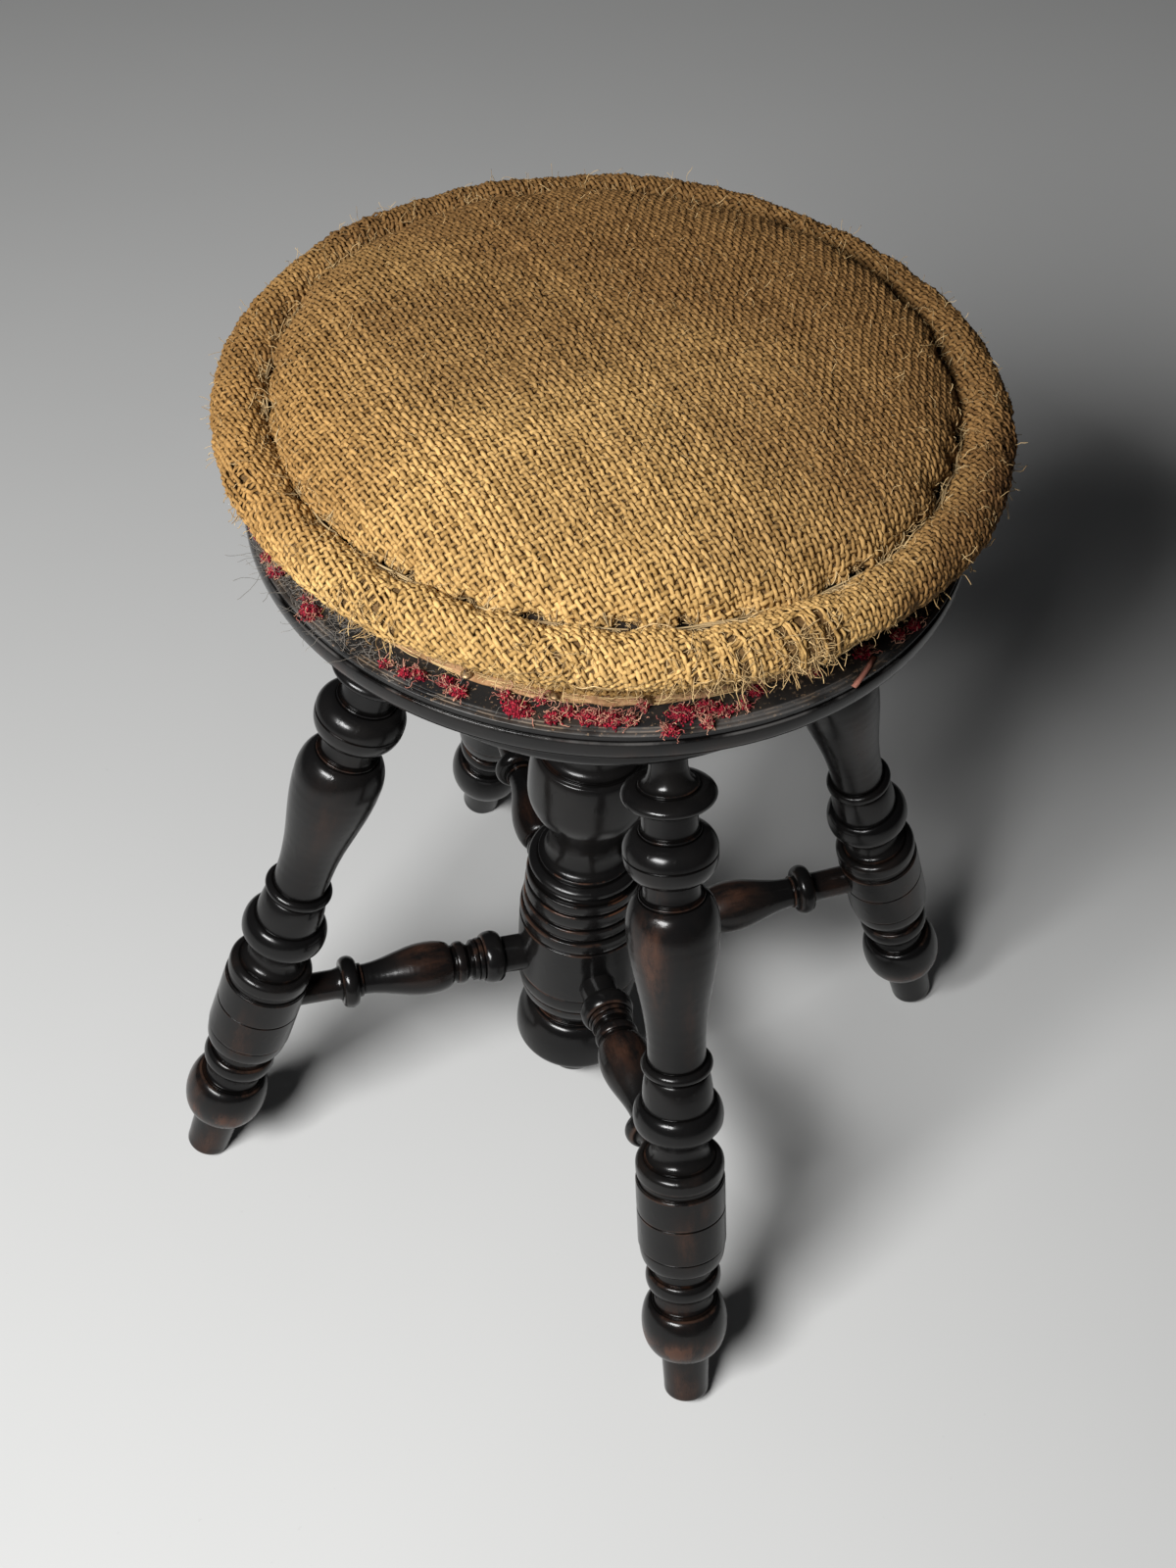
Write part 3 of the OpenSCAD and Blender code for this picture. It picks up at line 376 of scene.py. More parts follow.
class Paint:
    """Builds one material's node tree, with short calls for the nodes used here."""

    def __init__(self, name):
        self.material = bpy.data.materials.new(name)
        self.material.use_nodes = True
        self.tree = self.material.node_tree
        self.tree.nodes.clear()
        self.coordinates = self.put("TexCoord").outputs["Object"]

    def put(self, kind, settings=None, **inputs):
        node = self.tree.nodes.new("ShaderNode" + kind)
        for key, value in (settings or {}).items():
            setattr(node, key, value)
        for key, value in inputs.items():
            self.feed(node.inputs[key.replace("_", " ")], value)
        return node

    def feed(self, socket, value):
        if isinstance(value, bpy.types.NodeSocket):
            self.tree.links.new(value, socket)
        elif socket.type == "RGBA" and len(value) == 3:
            socket.default_value = (*value, 1)
        else:
            socket.default_value = value

    def value(self, name):
        """A float attribute of the mesh."""
        return self.put("Attribute", {"attribute_name": name}).outputs["Fac"]

    def noise(self, scale, detail=3, stretch=(1, 1, 1), roughness=0.55):
        vector = self.coordinates
        if stretch != (1, 1, 1):
            vector = self.put("Mapping", Vector=vector, Scale=stretch).outputs[0]
        return self.put("TexNoise", Vector=vector, Scale=scale, Detail=detail,
                        Roughness=roughness).outputs["Fac"]

    def fade(self, value, low, high, start=0.0, end=1.0):
        node = self.put("MapRange", {"interpolation_type": "SMOOTHSTEP"}, Value=value,
                        From_Min=low, From_Max=high, To_Min=start, To_Max=end)
        return node.outputs["Result"]

    def patches(self, scale, detail, low, high, start=0.0, end=1.0, **more):
        """Noise with eased edges: start below low and end above high."""
        return self.fade(self.noise(scale, detail, **more), low, high, start, end)

    def calc(self, operation, a, b=0.0):
        node = self.put("Math", {"operation": operation})
        self.feed(node.inputs[0], a)
        self.feed(node.inputs[1], b)
        return node.outputs[0]

    def plus(self, a, b):
        return self.calc("ADD", a, b)

    def times(self, *values):
        """The product of sockets and numbers."""
        made = values[0]
        for value in values[1:]:
            made = self.calc("MULTIPLY", made, value)
        return made

    def tint(self, share, colour, tone):
        """Multiplies a colour by a tone, where share says so."""
        return self.mix(share, colour, self.mix(1.0, colour, tone, "MULTIPLY"))

    def mix(self, share, a, b, how="MIX"):
        node = self.put("Mix", {"data_type": "RGBA", "blend_type": how})
        self.feed(node.inputs[0], share)
        self.feed(node.inputs[6], a)
        self.feed(node.inputs[7], b)
        return node.outputs[2]

    def bump(self, height, strength, distance, normal=None):
        more = {"Normal": normal} if normal else {}
        return self.put("Bump", Height=height, Strength=strength, Distance=distance,
                        **more).outputs["Normal"]

    def finish(self, **inputs):
        shader = self.put("BsdfPrincipled", **inputs)
        output = self.put("OutputMaterial")
        self.tree.links.new(shader.outputs[0], output.inputs["Surface"])
        return self.material


# Tones of the ebonised wood, from dark to light where there are two
POLISH = (0.0050, 0.0048, 0.0049), (0.0090, 0.0082, 0.0078)
BARE_WOOD = (0.024, 0.010, 0.006), (0.105, 0.047, 0.028)
DUST = (0.015, 0.016, 0.017), (0.048, 0.038, 0.030)
ARRIS_BROWN = (0.12, 0.048, 0.024)
CREST_COPPER = (0.092, 0.047, 0.030)
# Painted shade for recesses and inside corners
PAINTED_RECESS_SHADE = (0.0015, 0.0013, 0.0012)
LINT = (0.24, 0.17, 0.11)
SPECK = (0.30, 0.20, 0.12)
# Painted highlight on the edges of the moulding just below the ledge, with rubbed wear
RUBBED_GREY_AND_HIGHLIGHT = (0.14, 0.135, 0.13)

# Heights in metres between which the wear fades, and how far the dust's edge reaches
ARRIS_FADE = (0.16, 0.22)
CREST_FADE = (0.14, 0.19)
DUST_EDGE = 0.0004


def ebonised_paint(name, dusty_from=None):
    """Black polish over brown wood, rubbed through on the edges and worn spots, with painted shade
    in its recesses. Dust lies on what is higher than dusty_from, in metres, with rubbed grey and a
    painted highlight on the edges just below that. The pattern lies along each piece's own axis."""
    p = Paint(name)
    p.coordinates = p.put("Attribute", {"attribute_name": "place"}).outputs["Vector"]
    height = p.put("SeparateXYZ", Vector=p.coordinates).outputs["Z"]
    edge, inside = p.value("edge"), p.value("inside")
    grain = p.noise(160, 4, (1, 1, 0.05))
    black = p.mix(p.patches(22, 5, 0.4, 0.7), *POLISH)

    # Sharp arrises are rubbed everywhere, and round crests on the lower turnings
    rub = p.times(p.fade(edge, 0.35, 0.8), p.patches(28, 6, 0.53, 0.62, roughness=0.7),
                  p.fade(height, *ARRIS_FADE, 1.0, 0.3), 0.6)
    colour = p.mix(rub, black, ARRIS_BROWN)
    crest = p.times(p.fade(edge, 0.15, 0.30), p.patches(40, 6, 0.46, 0.64, roughness=0.7),
                    p.fade(height, *CREST_FADE, 0.42, 0.0))
    colour = p.mix(crest, colour, CREST_COPPER)
    bare = p.times(p.value("worn"),
                   p.patches(95, 6, 0.35, 0.75, stretch=(1, 1, 0.35), roughness=0.7))
    colour = p.mix(bare, colour, p.mix(grain, *BARE_WOOD))
    # Painted shade: recesses and inside corners are darkened almost to black, and the specular
    # level at the end turns their reflection down
    deep = p.fade(inside, 0.12, 0.6)
    colour = p.mix(p.times(deep, 0.8), colour, PAINTED_RECESS_SHADE)
    rough = p.plus(p.patches(70, 5, 0.35, 0.7, 0.17, 0.26), p.times(bare, 0.16))
    shine = 0.26
    if dusty_from is not None:
        shine = 0.28
        top = p.fade(height, dusty_from, dusty_from + DUST_EDGE)
        film = p.mix(p.patches(30, 4, 0.4, 0.65), *DUST)
        colour = p.mix(p.times(top, 0.75), colour, film)
        line = p.times(p.fade(inside, 0.3, 0.8), p.patches(60, 5, 0.48, 0.6), top, 0.6)
        colour = p.mix(line, colour, LINT)
        specks = p.times(p.patches(620, 4, 0.60, 0.68), top, 0.6)
        colour = p.mix(specks, colour, SPECK)
        rough = p.plus(rough, p.fade(height, dusty_from, dusty_from + DUST_EDGE, -0.05, 0.16))
        # Painted highlight: rubbed grey on the edges just below the ledge stands in for the lamp's
        # sheen on the moulding, as well as wear
        rubbed = p.times(p.fade(edge, 0.2, 0.7), p.patches(34, 6, 0.42, 0.6),
                         p.fade(height, dusty_from - 0.008, dusty_from - 0.003), 0.5)
        colour = p.mix(rubbed, colour, RUBBED_GREY_AND_HIGHLIGHT)
    normal = p.bump(p.noise(80, 4, (1, 1, 14)), 0.10, 0.0003, p.bump(grain, 0.10, 0.0004))
    normal = p.bump(p.patches(240, 5, 0.56, 0.72, stretch=(1, 1, 0.5)), 0.18, 0.0003, normal)
    return p.finish(Base_Color=colour, Roughness=rough, Normal=normal,
                    Specular_IOR_Level=p.fade(inside, 0.12, 0.6, shine, 0.08))


def iron_paint(name, iron_tone=(0.10, 0.095, 0.09), rust_tone=(0.12, 0.045, 0.02)):
    p = Paint(name)
    colour = p.mix(p.patches(120, 6, 0.52, 0.68), iron_tone, rust_tone)
    rough = p.patches(60, 4, 0.3, 0.7, 0.35, 0.6)
    return p.finish(Base_Color=colour, Roughness=rough, Metallic=0.85,
                    Normal=p.bump(p.noise(500, 4), 0.25, 0.0003))


def leather_paint(name, dark=(0.10, 0.05, 0.025), light=(0.22, 0.12, 0.065)):
    p = Paint(name)
    colour = p.mix(p.noise(180, 5), dark, light)
    return p.finish(Base_Color=colour, Roughness=0.7, Normal=p.bump(p.noise(700, 4), 0.3, 0.0003))


# Tones of the jute, and the tones it is multiplied by: towards the back right, for painted shade on
# the roll at the front right, and for a stain on the left
JUTE_LIGHT = (0.65, 0.415, 0.155)
JUTE_DARK = (0.215, 0.115, 0.028)
BACK_RIGHT_TONE = (0.37, 0.312, 0.275)
FRONT_RIGHT_PAINTED_SHADE = (0.52, 0.46, 0.40)
STAINED = (0.76, 0.68, 0.60)


def hessian_colour(p, shade):
    """Straw to brown, by each thread's own shade. The cloth is darker towards the back right,
    stained darker on the left, and given painted shade on the roll at the front right."""
    colour = p.mix(shade, JUTE_DARK, JUTE_LIGHT)
    place = p.put("SeparateXYZ", Vector=p.coordinates)
    x, y = place.outputs["X"], place.outputs["Y"]
    blotch = p.times(p.calc("SUBTRACT", p.noise(14, 4), 0.5), 0.20)
    # Darker towards the back right, with a noisy edge
    to_back = p.plus(p.times(y, 0.72), p.times(x, 0.70))
    toward_back_right = p.fade(p.plus(to_back, blotch), -0.165, 0.048)
    colour = p.tint(toward_back_right, colour, BACK_RIGHT_TONE)
    # Painted shade on the roll at the front right, which faces away from the lamp
    to_front = p.plus(p.times(x, 0.71), p.times(y, -0.70))
    front_right_shade = p.fade(p.plus(to_front, p.times(blotch, 0.15)), 0.148, 0.165)
    colour = p.tint(front_right_shade, colour, FRONT_RIGHT_PAINTED_SHADE)
    stain = p.times(p.fade(x, -0.17, -0.04, 1.0, 0.0), p.fade(p.plus(y, blotch), -0.12, -0.02))
    return p.tint(stain, colour, STAINED)


def thread_paint(name):
    """Jute thread: straw coloured, matt, with fine fibres."""
    p = Paint(name)
    fibre = p.noise(1400, 3)
    shade = p.plus(p.value("shade"), p.times(p.calc("SUBTRACT", fibre, 0.5), 0.7))
    return p.finish(Base_Color=hessian_colour(p, shade), Roughness=0.82,
                    Specular_IOR_Level=0.25, Normal=p.bump(fibre, 0.5, 0.0003))


def cloth_paint(name, light, dark, scale=900):
    """A plain coloured cloth or hair ground with fine mottling."""
    p = Paint(name)
    spots = p.noise(scale, 4)
    colour = p.mix(p.fade(spots, 0.3, 0.7), dark, light)
    return p.finish(Base_Color=colour, Roughness=0.9, Specular_IOR_Level=0.2,
                    Normal=p.bump(spots, 0.6, 0.0006))


def fibre_paint(name, light, dark):
    """Loose fibres, coloured by each strand's shade."""
    p = Paint(name)
    return p.finish(Base_Color=p.mix(p.value("shade"), dark, light), Roughness=0.75,
                    Specular_IOR_Level=0.3)


def brass_paint(name, brass_tone=(0.40, 0.27, 0.14), tarnish=(0.12, 0.065, 0.03)):
    p = Paint(name)
    colour = p.mix(p.patches(700, 5, 0.4, 0.65), brass_tone, tarnish)
    return p.finish(Base_Color=colour, Roughness=0.45, Metallic=0.8)


def floor_paint(name, dark=(0.61, 0.612, 0.605), light=(0.675, 0.675, 0.665),
                speck=(0.35, 0.34, 0.33)):
    p = Paint(name)
    colour = p.mix(p.noise(1.6, 4), dark, light)
    colour = p.mix(p.patches(190, 2, 0.74, 0.78, 0.0, 0.10), colour, speck)
    return p.finish(Base_Color=colour, Roughness=0.75, Specular_IOR_Level=0.2)


ebony = ebonised_paint("ebonised wood")
dusty_ebony = ebonised_paint("dusty ebonised wood", (BOARD_TOP - 0.5) * MM)
iron = iron_paint("oiled iron")
leather = leather_paint("leather")
thread = thread_paint("hessian thread")
# The ground: dark jute under the threads, which paints the shade in the gaps between them
ground = cloth_paint("hessian ground", (0.17, 0.097, 0.035), (0.075, 0.041, 0.015))
hem_cloth = cloth_paint("hem", (0.46, 0.27, 0.14), (0.22, 0.115, 0.05), 210)
hair = cloth_paint("horsehair", (0.05, 0.035, 0.025), (0.012, 0.009, 0.007))
jute_fibre = fibre_paint("jute fibre", (0.66, 0.47, 0.23), (0.24, 0.14, 0.05))
twine = fibre_paint("twine", (0.50, 0.37, 0.19), (0.20, 0.13, 0.06))
hair_fibre = fibre_paint("grey hair", (0.32, 0.29, 0.25), (0.08, 0.07, 0.06))
velvet_pile = fibre_paint("velvet pile", (0.37, 0.010, 0.030), (0.050, 0.001, 0.005))
velvet_back = fibre_paint("velvet threads", (0.58, 0.33, 0.22), (0.30, 0.07, 0.06))
brass = brass_paint("tarnished brass")


# Wood

def upright(turn):
    return Matrix.Rotation(math.radians(turn), 4, "Z")


def leg_placing(turn):
    """A leg's own axis, from the floor up."""
    return (upright(turn) @ Matrix.Translation((FOOT_REACH * MM, 0, 0))
            @ Matrix.Rotation(-LEG_LEAN, 4, "Y"))


def stretcher_placing(turn):
    """A stretcher's own axis, from the column's middle out."""
    return (upright(turn) @ Matrix.Translation((0, 0, DRUM_MORTISE_Z * MM))
            @ Matrix.Rotation(math.pi / 2 - STRETCHER_RISE, 4, "Y"))


# Bare patches, in millimetres up the axis and degrees round it from the outer side
LEG_WORN = {
    "front": [(292, -48, 26, 20, 1.0), (262, 10, 30, 14, 0.5), (125, -10, 16, 12, 0.7),
              (140, 20, 7, 10, 0.8), (47, -20, 5.5, 80, 2.4), (70, -40, 5, 40, 0.5),
              (12, -20, 16, 50, 0.7)],
    "right": [(125, -60, 20, 25, 0.5), (45, -60, 4, 70, 1.8), (270, -80, 30, 25, 0.4)],
    "back": [(45, 0, 12, 60, 0.7), (250, 40, 40, 30, 0.5)],
    "left": [(46, 60, 6, 80, 2.4), (12, 60, 18, 50, 0.8), (56, 0, 8, 40, 0.8),
             (120, 60, 20, 20, 0.4), (280, 70, 35, 25, 0.25)],
}
STRETCHER_WORN = [(88, 0, 14, 60, 0.8), (88, 180, 14, 60, 0.8), (150, 0, 8, 180, 0.6)]
BOARD_WORN = [(BOARD_TOP - 14, -150, 5, 8, 0.9), (BOARD_TOP - 14, -95, 4, 10, 0.7),
              (BOARD_TOP - 14, -40, 5, 6, 0.8), (BOARD_TOP - 14, 60, 5, 12, 0.7)]

for side, turn in SIDES.items():
    turned("leg_" + side, leg_placing(turn), worn=LEG_WORN[side])
    turned("stretcher_" + side, stretcher_placing(turn), sides=64, worn=STRETCHER_WORN)
turned("column", sides=88)
turned("leg_block", sides=160, name="turned_block")
turned("seat_board", sides=256, worn=BOARD_WORN, least=100, body="seat", material=dusty_ebony)

for node, material in (("screw_nut", iron), ("nut_screws", iron), ("seat_plate", iron),
                       ("seat_plate_screws", iron), ("thrust_washer", leather)):
    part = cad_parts[node]
    part.data.materials.clear()
    part.data.materials.append(material)


def threaded_screw():
    """The lift screw with its coarse thread, cut below the seat plate."""
    low, high = box_mm("lift_screw")
    outer, pitch, depth, sides = high[0] - 0.05, 8.0, 1.9, 72
    plain_from = high[2] - 14
    heights = np.arange(low[2], high[2], 0.5)[:, None]
    turns = round_turns(sides)
    phase = (heights / pitch - turns / TAU) % 1
    cut = fade(np.abs(phase - 0.5), 0.13, 0.30)
    taper = fade(heights, low[2], low[2] + 4)
    plain = fade(heights, plain_from, plain_from + 3)
    radius = outer - depth * (1 - cut) * (1 - plain) - 2.5 * (1 - taper)
    points = round_points(radius, turns, heights).reshape(-1, 3)
    ends = [np.arange(sides)[::-1][None, :], len(points) - sides + np.arange(sides)[None, :]]
    add_piece("threaded_lift_screw", points, [wrap_quads(len(heights), sides)] + ends, iron,
              ("lift_screw",))


threaded_screw()


# The pad

def pad_outline(steps=400, power=2.6, closer=2.2):
    """Its outline from the middle down to the valley: lengths along the cloth, then radii,
    heights and how both grow. The steps lie closer where it falls."""
    u = 1 - (1 - np.linspace(0, 1, steps)) ** closer
    r = VALLEY_R * u
    z = VALLEY_Z + (CROWN_Z - VALLEY_Z) * np.sqrt(np.clip(1 - u ** power, 0, 1))
    s = np.concatenate([[0], np.cumsum(np.hypot(np.diff(r), np.diff(z)))])
    return s, (r, z, np.gradient(r, s), np.gradient(z, s))


PAD_LENGTHS, PAD_CURVES = pad_outline()
PAD_REACH = PAD_LENGTHS[-1]

# Gaps where the stuffing shows: angle and half width in degrees, and how far back the edge is
PAD_GAPS = [(-140, 0.8, 2.5), (-129.5, 1.6, 3.5), (-119.5, 1.9, 4.5), (-105, 2.2, 3.5),
            (-96.5, 0.8, 6), (-66, 1.8, 6.5), (-52, 2.6, 4.5), (-40, 2.4, 7), (-27, 2.2, 6),
            (14, 2, 4), (60, 2, 5), (150, 2, 5)]
STITCH_COUNT = 34
STITCH_TURNS = np.arange(STITCH_COUNT) + rng(11).uniform(-0.4, 0.4, STITCH_COUNT)
STITCH_TURNS = STITCH_TURNS * TAU / STITCH_COUNT


def turn_gap(turn, other):
    """The signed angle from other to turn."""
    return (turn - other + math.pi) % TAU - math.pi


def stitch_off(turn):
    """The signed angle from each angle to its nearest stitch."""
    off = turn_gap(STITCH_TURNS, np.asarray(turn)[..., None])
    return np.take_along_axis(off, np.abs(off).argmin(-1)[..., None], -1)[..., 0]


def edge_pull(turn):
    """How strongly the seam's stitches pull at each angle, 0 to 1."""
    return np.exp(-(stitch_off(turn) / math.radians(2.0)) ** 2)


def spots_at(turn, spots):
    """The strength at each angle of (angle, half width, strength) stretches round the seat."""
    made = np.zeros_like(turn)
    for angle, half, strength in spots:
        off = turn_gap(turn, math.radians(angle)) / math.radians(half)
        made = np.maximum(made, strength * np.exp(-off ** 4))
    return made


def pad_at(x, y):
    """Points and normals on the pad for flat places on its cloth."""
    s, turn = np.hypot(x, y), np.arctan2(y, x)
    inner = np.clip(s, 0, PAD_REACH)
    r, z, dr, dz = (np.interp(inner, PAD_LENGTHS, curve) for curve in PAD_CURVES)
    size = np.hypot(dr, dz) + 1e-9
    flat = np.stack([x, y], 1)
    to_edge = PAD_REACH - inner
    # Broad and small lumps, puckers at the edge, and what the stitches and the gaps draw down
    lumps = 0.9 * waves(flat, 42, 3) + 0.35 * waves(flat, 16, 4)
    lumps += 0.5 * waves(np.stack([turn * 60, inner * 0.4], 1), 9, 5) * np.exp(-(to_edge / 18) ** 2)
    lumps -= 2.6 * edge_pull(turn) * np.exp(-((to_edge - 3) / 10) ** 2)
    lumps -= 3.0 * (spots_at(turn, PAD_GAPS) > 1.5) * np.exp(-(to_edge / 7) ** 2)
    normals = round_points(-dz / size, turn, dr / size)
    return round_points(r, turn, z) + normals * lumps[:, None], normals


# The roll, which the same cloth is drawn over: angles round its section, from the seam over the
# top to below, and the lengths along the cloth there
ROLL_FROM = math.radians(148)
ROLL_TO = math.radians(-104)


def roll_radius(around):
    """The roll's section is drawn in below, where the stitches hold it."""
    return ROLL_SECTION_R - 5.0 * fade(-around, math.radians(-25), math.radians(50))


ROLL_SHARES = np.linspace(0, 1, 200)
ROLL_STEPS = roll_radius(ROLL_FROM + (ROLL_TO - ROLL_FROM) * ROLL_SHARES[1:])
ROLL_STEPS = ROLL_STEPS * (ROLL_FROM - ROLL_TO) / len(ROLL_STEPS)
ROLL_LENGTHS = np.concatenate([[0], np.cumsum(ROLL_STEPS)])
ROLL_ARC = ROLL_LENGTHS[-1]

# Frayed stretches of the roll, as angle, half width in degrees and strength
FRAYS = [(-80, 5.5, 1.0), (-90.5, 2.6, 0.8), (-97, 4, 0.45), (-115, 6, 0.35), (-141, 5, 0.5),
         (-23, 8, 0.6), (-172, 4, 0.6), (35, 6, 0.5), (120, 8, 0.6)]


def roll_at(turn, share):
    """Points and normals on the edge roll; share runs from the seam over the top to below."""
    around = ROLL_FROM + (ROLL_TO - ROLL_FROM) * share
    place = np.stack([turn * ROLL_R, around * ROLL_SECTION_R], 1)
    rim = on_rim(turn, ROLL_R)
    # Uneven stuffing, lumps in the cloth, and what the stitches draw in
    section = roll_radius(around) * (1 + 0.035 * waves(rim, 55, 41) + 0.02 * waves(rim, 20, 42))
    section += 0.35 * waves(place, 12, 43) + 0.25 * waves(place, 6, 44)
    section -= 1.6 * edge_pull(turn) * np.exp(-((around - math.radians(128)) / 0.5) ** 2)
    normals = round_points(np.cos(around), turn, np.sin(around))
    centre = round_points(ROLL_R, turn, ROLL_Z + 0.7 * waves(rim, 70, 45))
    return centre + normals * section[:, None], normals


def drifted(x, y):
    """Cloth never lies quite square: both sets of threads wander together, more over the roll."""
    flat = np.stack([x, y], 1)
    loose = 0.8 + 1.5 * fade(np.hypot(x, y), PAD_REACH - 20, PAD_REACH + 12)
    x, y = (x + loose * waves(flat, 60, 21) + 0.35 * waves(flat, 14, 22),
            y + loose * waves(flat, 60, 23) + 0.35 * waves(flat, 14, 24))
    s, turn = np.hypot(x, y), np.arctan2(y, x)
    off = stitch_off(turn)
    near = np.exp(-((s - PAD_REACH) / 8) ** 2)
    turn = turn + off * near * 0.6 * np.exp(-(off / math.radians(2.6)) ** 2)
    return s * np.cos(turn), s * np.sin(turn)


def cloth_threads(is_warp):
    """One set of the cloth's threads, over the pad and on over the roll: the warp runs front to
    back and the weft across. Returns the pad's."""
    pad, roll = Strands(), Strands()
    source = rng(31 + is_warp)
    way, aside = (WARP_WAY, WEFT_WAY) if is_warp else (WEFT_WAY, WARP_WAY)
    pitch, other = (WARP_PITCH, WEFT_PITCH) if is_warp else (WEFT_PITCH, WARP_PITCH)
    reach = PAD_REACH + ROLL_ARC
    count = int(reach / pitch)
    for i in range(-count, count + 1):
        steps = int(math.sqrt(max(reach ** 2 - (i * pitch) ** 2, 0)) / other)
        along = np.arange(-2 * steps, 2 * steps + 1) * other / 2
        if len(along) < 5:
            continue
        line = along[:, None]
        over = np.cos(math.pi * (along / other + i)) * (1 if is_warp else -1)
        # Each thread lies off its line, bends and is jogged where it crosses another
        across = i * pitch + source.normal(0, 0.2)
        across = across + 0.28 * waves(line, 14, 1000 * is_warp + i + 500)
        across += source.normal(0, 0.15, len(along))
        # Four by four they bunch where the roll is frayed, which depends on where they end up
        amount = np.zeros(len(along))
        for _ in range(2):
            bundle = (1.5 - i % 4) * pitch * 0.42 * amount
            x, y = drifted(along * math.cos(way) + (across + bundle) * math.cos(aside),
                           along * math.sin(way) + (across + bundle) * math.sin(aside))
            s, turn = np.hypot(x, y), np.arctan2(y, x)
            beyond = s - PAD_REACH
            share = np.interp(beyond, ROLL_LENGTHS, ROLL_SHARES)
            amount = spots_at(turn, FRAYS) * fade(beyond, 8, 18)
        wide = THREAD_W * (1 + source.normal(0, 0.09)) * (1 + 0.15 * waves(line, 6, i + 7000))
        # Painted light and shade: a thread is paler where it comes up and darker where it dips
        shade = 0.5 + 0.14 * over + source.normal(0, 0.13) + 0.13 * waves(line, 11, i + 8000)
        shade = shade + source.normal(0, 0.09, len(along)) - (0.0 if is_warp else 0.05)
        shade = np.clip(shade, 0, 1)
        lift = over * CRIMP * (1 + 0.2 * waves(line, 9, 3000 * is_warp + i + 200))
        lift += (0.12 if is_warp else -0.04)
        lift += 0.2 * waves(line, 9, 2000 * is_warp + i + 900)

        points, normals = pad_at(x, y)
        points = points + normals * lift[:, None]
        points[:, 2] -= np.clip(beyond, 0, None) * 1.2
        for run in runs(s < PAD_REACH + 1.5 - spots_at(turn, PAD_GAPS)):
            pad.add(points[run], normals[run], wide[run], THREAD_T, shade[run])

        points, normals = roll_at(turn, share)
        lift = lift + amount * (0.2 + 0.7 * abs(source.normal()))
        points = points + normals * lift[:, None]
        points[:, :2] += amount[:, None] * source.normal(0, 0.7, 2)
        # Frayed threads are lost, the weft long before the warp, and some end early
        gone = amount * (0.25 + 1.1 * share) + 0.12 * waves(line, 12, i + 9000)
        whole = gone < (2.0 if is_warp else 0.6)
        end = share < (1 if source.uniform() > 0.3 * amount.max() else source.uniform(0.5, 0.9))
        wide = wide * (1 - 0.3 * amount)
        for run in runs((beyond > -1.0) & (beyond < ROLL_ARC) & whole & end):
            roll.add(points[run], normals[run], wide[run], THREAD_T, shade[run])
    kind = "warp" if is_warp else "weft"
    on_pad = pad.build("hessian_cover_" + kind, thread)
    roll.build("edge_roll_" + kind, thread)
    return on_pad


def runs(keep):
    """Index arrays of the unbroken stretches where keep is true, three points or longer."""
    edges = np.flatnonzero(np.diff(np.concatenate([[0], keep.astype(int), [0]])))
    return [np.arange(a, b) for a, b in zip(edges[::2], edges[1::2]) if b - a > 2]


def grid_piece(name, points, material, replaces=(), closed=True):
    """A skin on the seat from a (rows, columns, 3) grid that goes round in columns."""
    quads = wrap_quads(*points.shape[:2], closed)
    return add_piece(name, points.reshape(-1, 3), [quads], material, replaces)


def pad_round(turn, s):
    """Points and normals on the pad by angle and length from its middle."""
    return pad_at(s * np.cos(turn), s * np.sin(turn))


def skins(cloth_at, rows, columns, *sinks):
    """Grids of points that lie so far under a cloth, given by its function of angle and row."""
    row, turn = np.meshgrid(rows, round_turns(columns), indexing="ij")
    points, normals = cloth_at(turn.ravel(), row.ravel())
    return [(points - normals * sink).reshape(len(rows), columns, 3) for sink in sinks]


def cover_ground():
    """A thin closed sheet under the cloth's threads, in dark jute that paints the shade in the gaps
    between them.
    """
    s_values = np.concatenate([np.linspace(1, PAD_REACH * 0.9, 60),
                               np.linspace(PAD_REACH * 0.905, PAD_REACH, 14)])
    upper, under = skins(pad_round, s_values, 200, 0.55, 1.0)
    return grid_piece("hessian_cover_ground", np.concatenate([upper, under[::-1]]), ground,
                      ("hessian_cover",))


warp = cloth_threads(is_warp=True)
weft = cloth_threads(is_warp=False)
cover = cover_ground()


def border_at(turn, share):
    """Points and normals on the border, which draws in from under the roll and stands upright on
    the ledge."""
    z = BORDER_TOP_Z + (BOARD_TOP + HESSIAN_T - BORDER_TOP_Z) * share
    r = BORDER_FOOT_R + 1.4 + (BORDER_TOP_R - 1.6 - BORDER_FOOT_R) * (1 - share) ** 1.5
    r = r + 0.4 * waves(np.stack([turn * 150, z], 1), 25, 46)
    return round_points(r, turn, z), round_points(1.0, turn, 0.0)


def border_weave(columns=400, rows=8, steps=20):
    """The border's cloth: column threads cross it and row threads go round."""
    strands = Strands()
    source = rng(61)
    step = TAU / columns
    for j in range(columns):
        share = np.linspace(0, 1, steps)
        turn = np.full(steps, (j + source.normal(0, 0.06)) * step) + 0.03 * (share - 0.5)
        points, normals = border_at(turn, share)
        points = points - normals * (CRIMP * np.cos(math.pi * (share * rows + j)))[:, None]
        shade = np.clip(0.45 + source.normal(0, 0.16), 0, 1)
        strands.add(points, normals, THREAD_W * (1 + source.normal(0, 0.1)), THREAD_T, shade)
    for k in range(rows):
        turn = np.arange(0, TAU + step * 0.5, step / 2)
        share = np.full(len(turn), (k + 0.5) / rows)
        points, normals = border_at(turn, share)
        points = points + normals * (CRIMP * np.cos(math.pi * (turn / step + k + 0.5)))[:, None]
        shade = np.clip(0.45 + 0.15 * waves(turn[:, None] * 150, 12, k + 61), 0, 1)
        strands.add(points, normals, THREAD_W, THREAD_T, shade)
    strands.build("border_weave", thread)


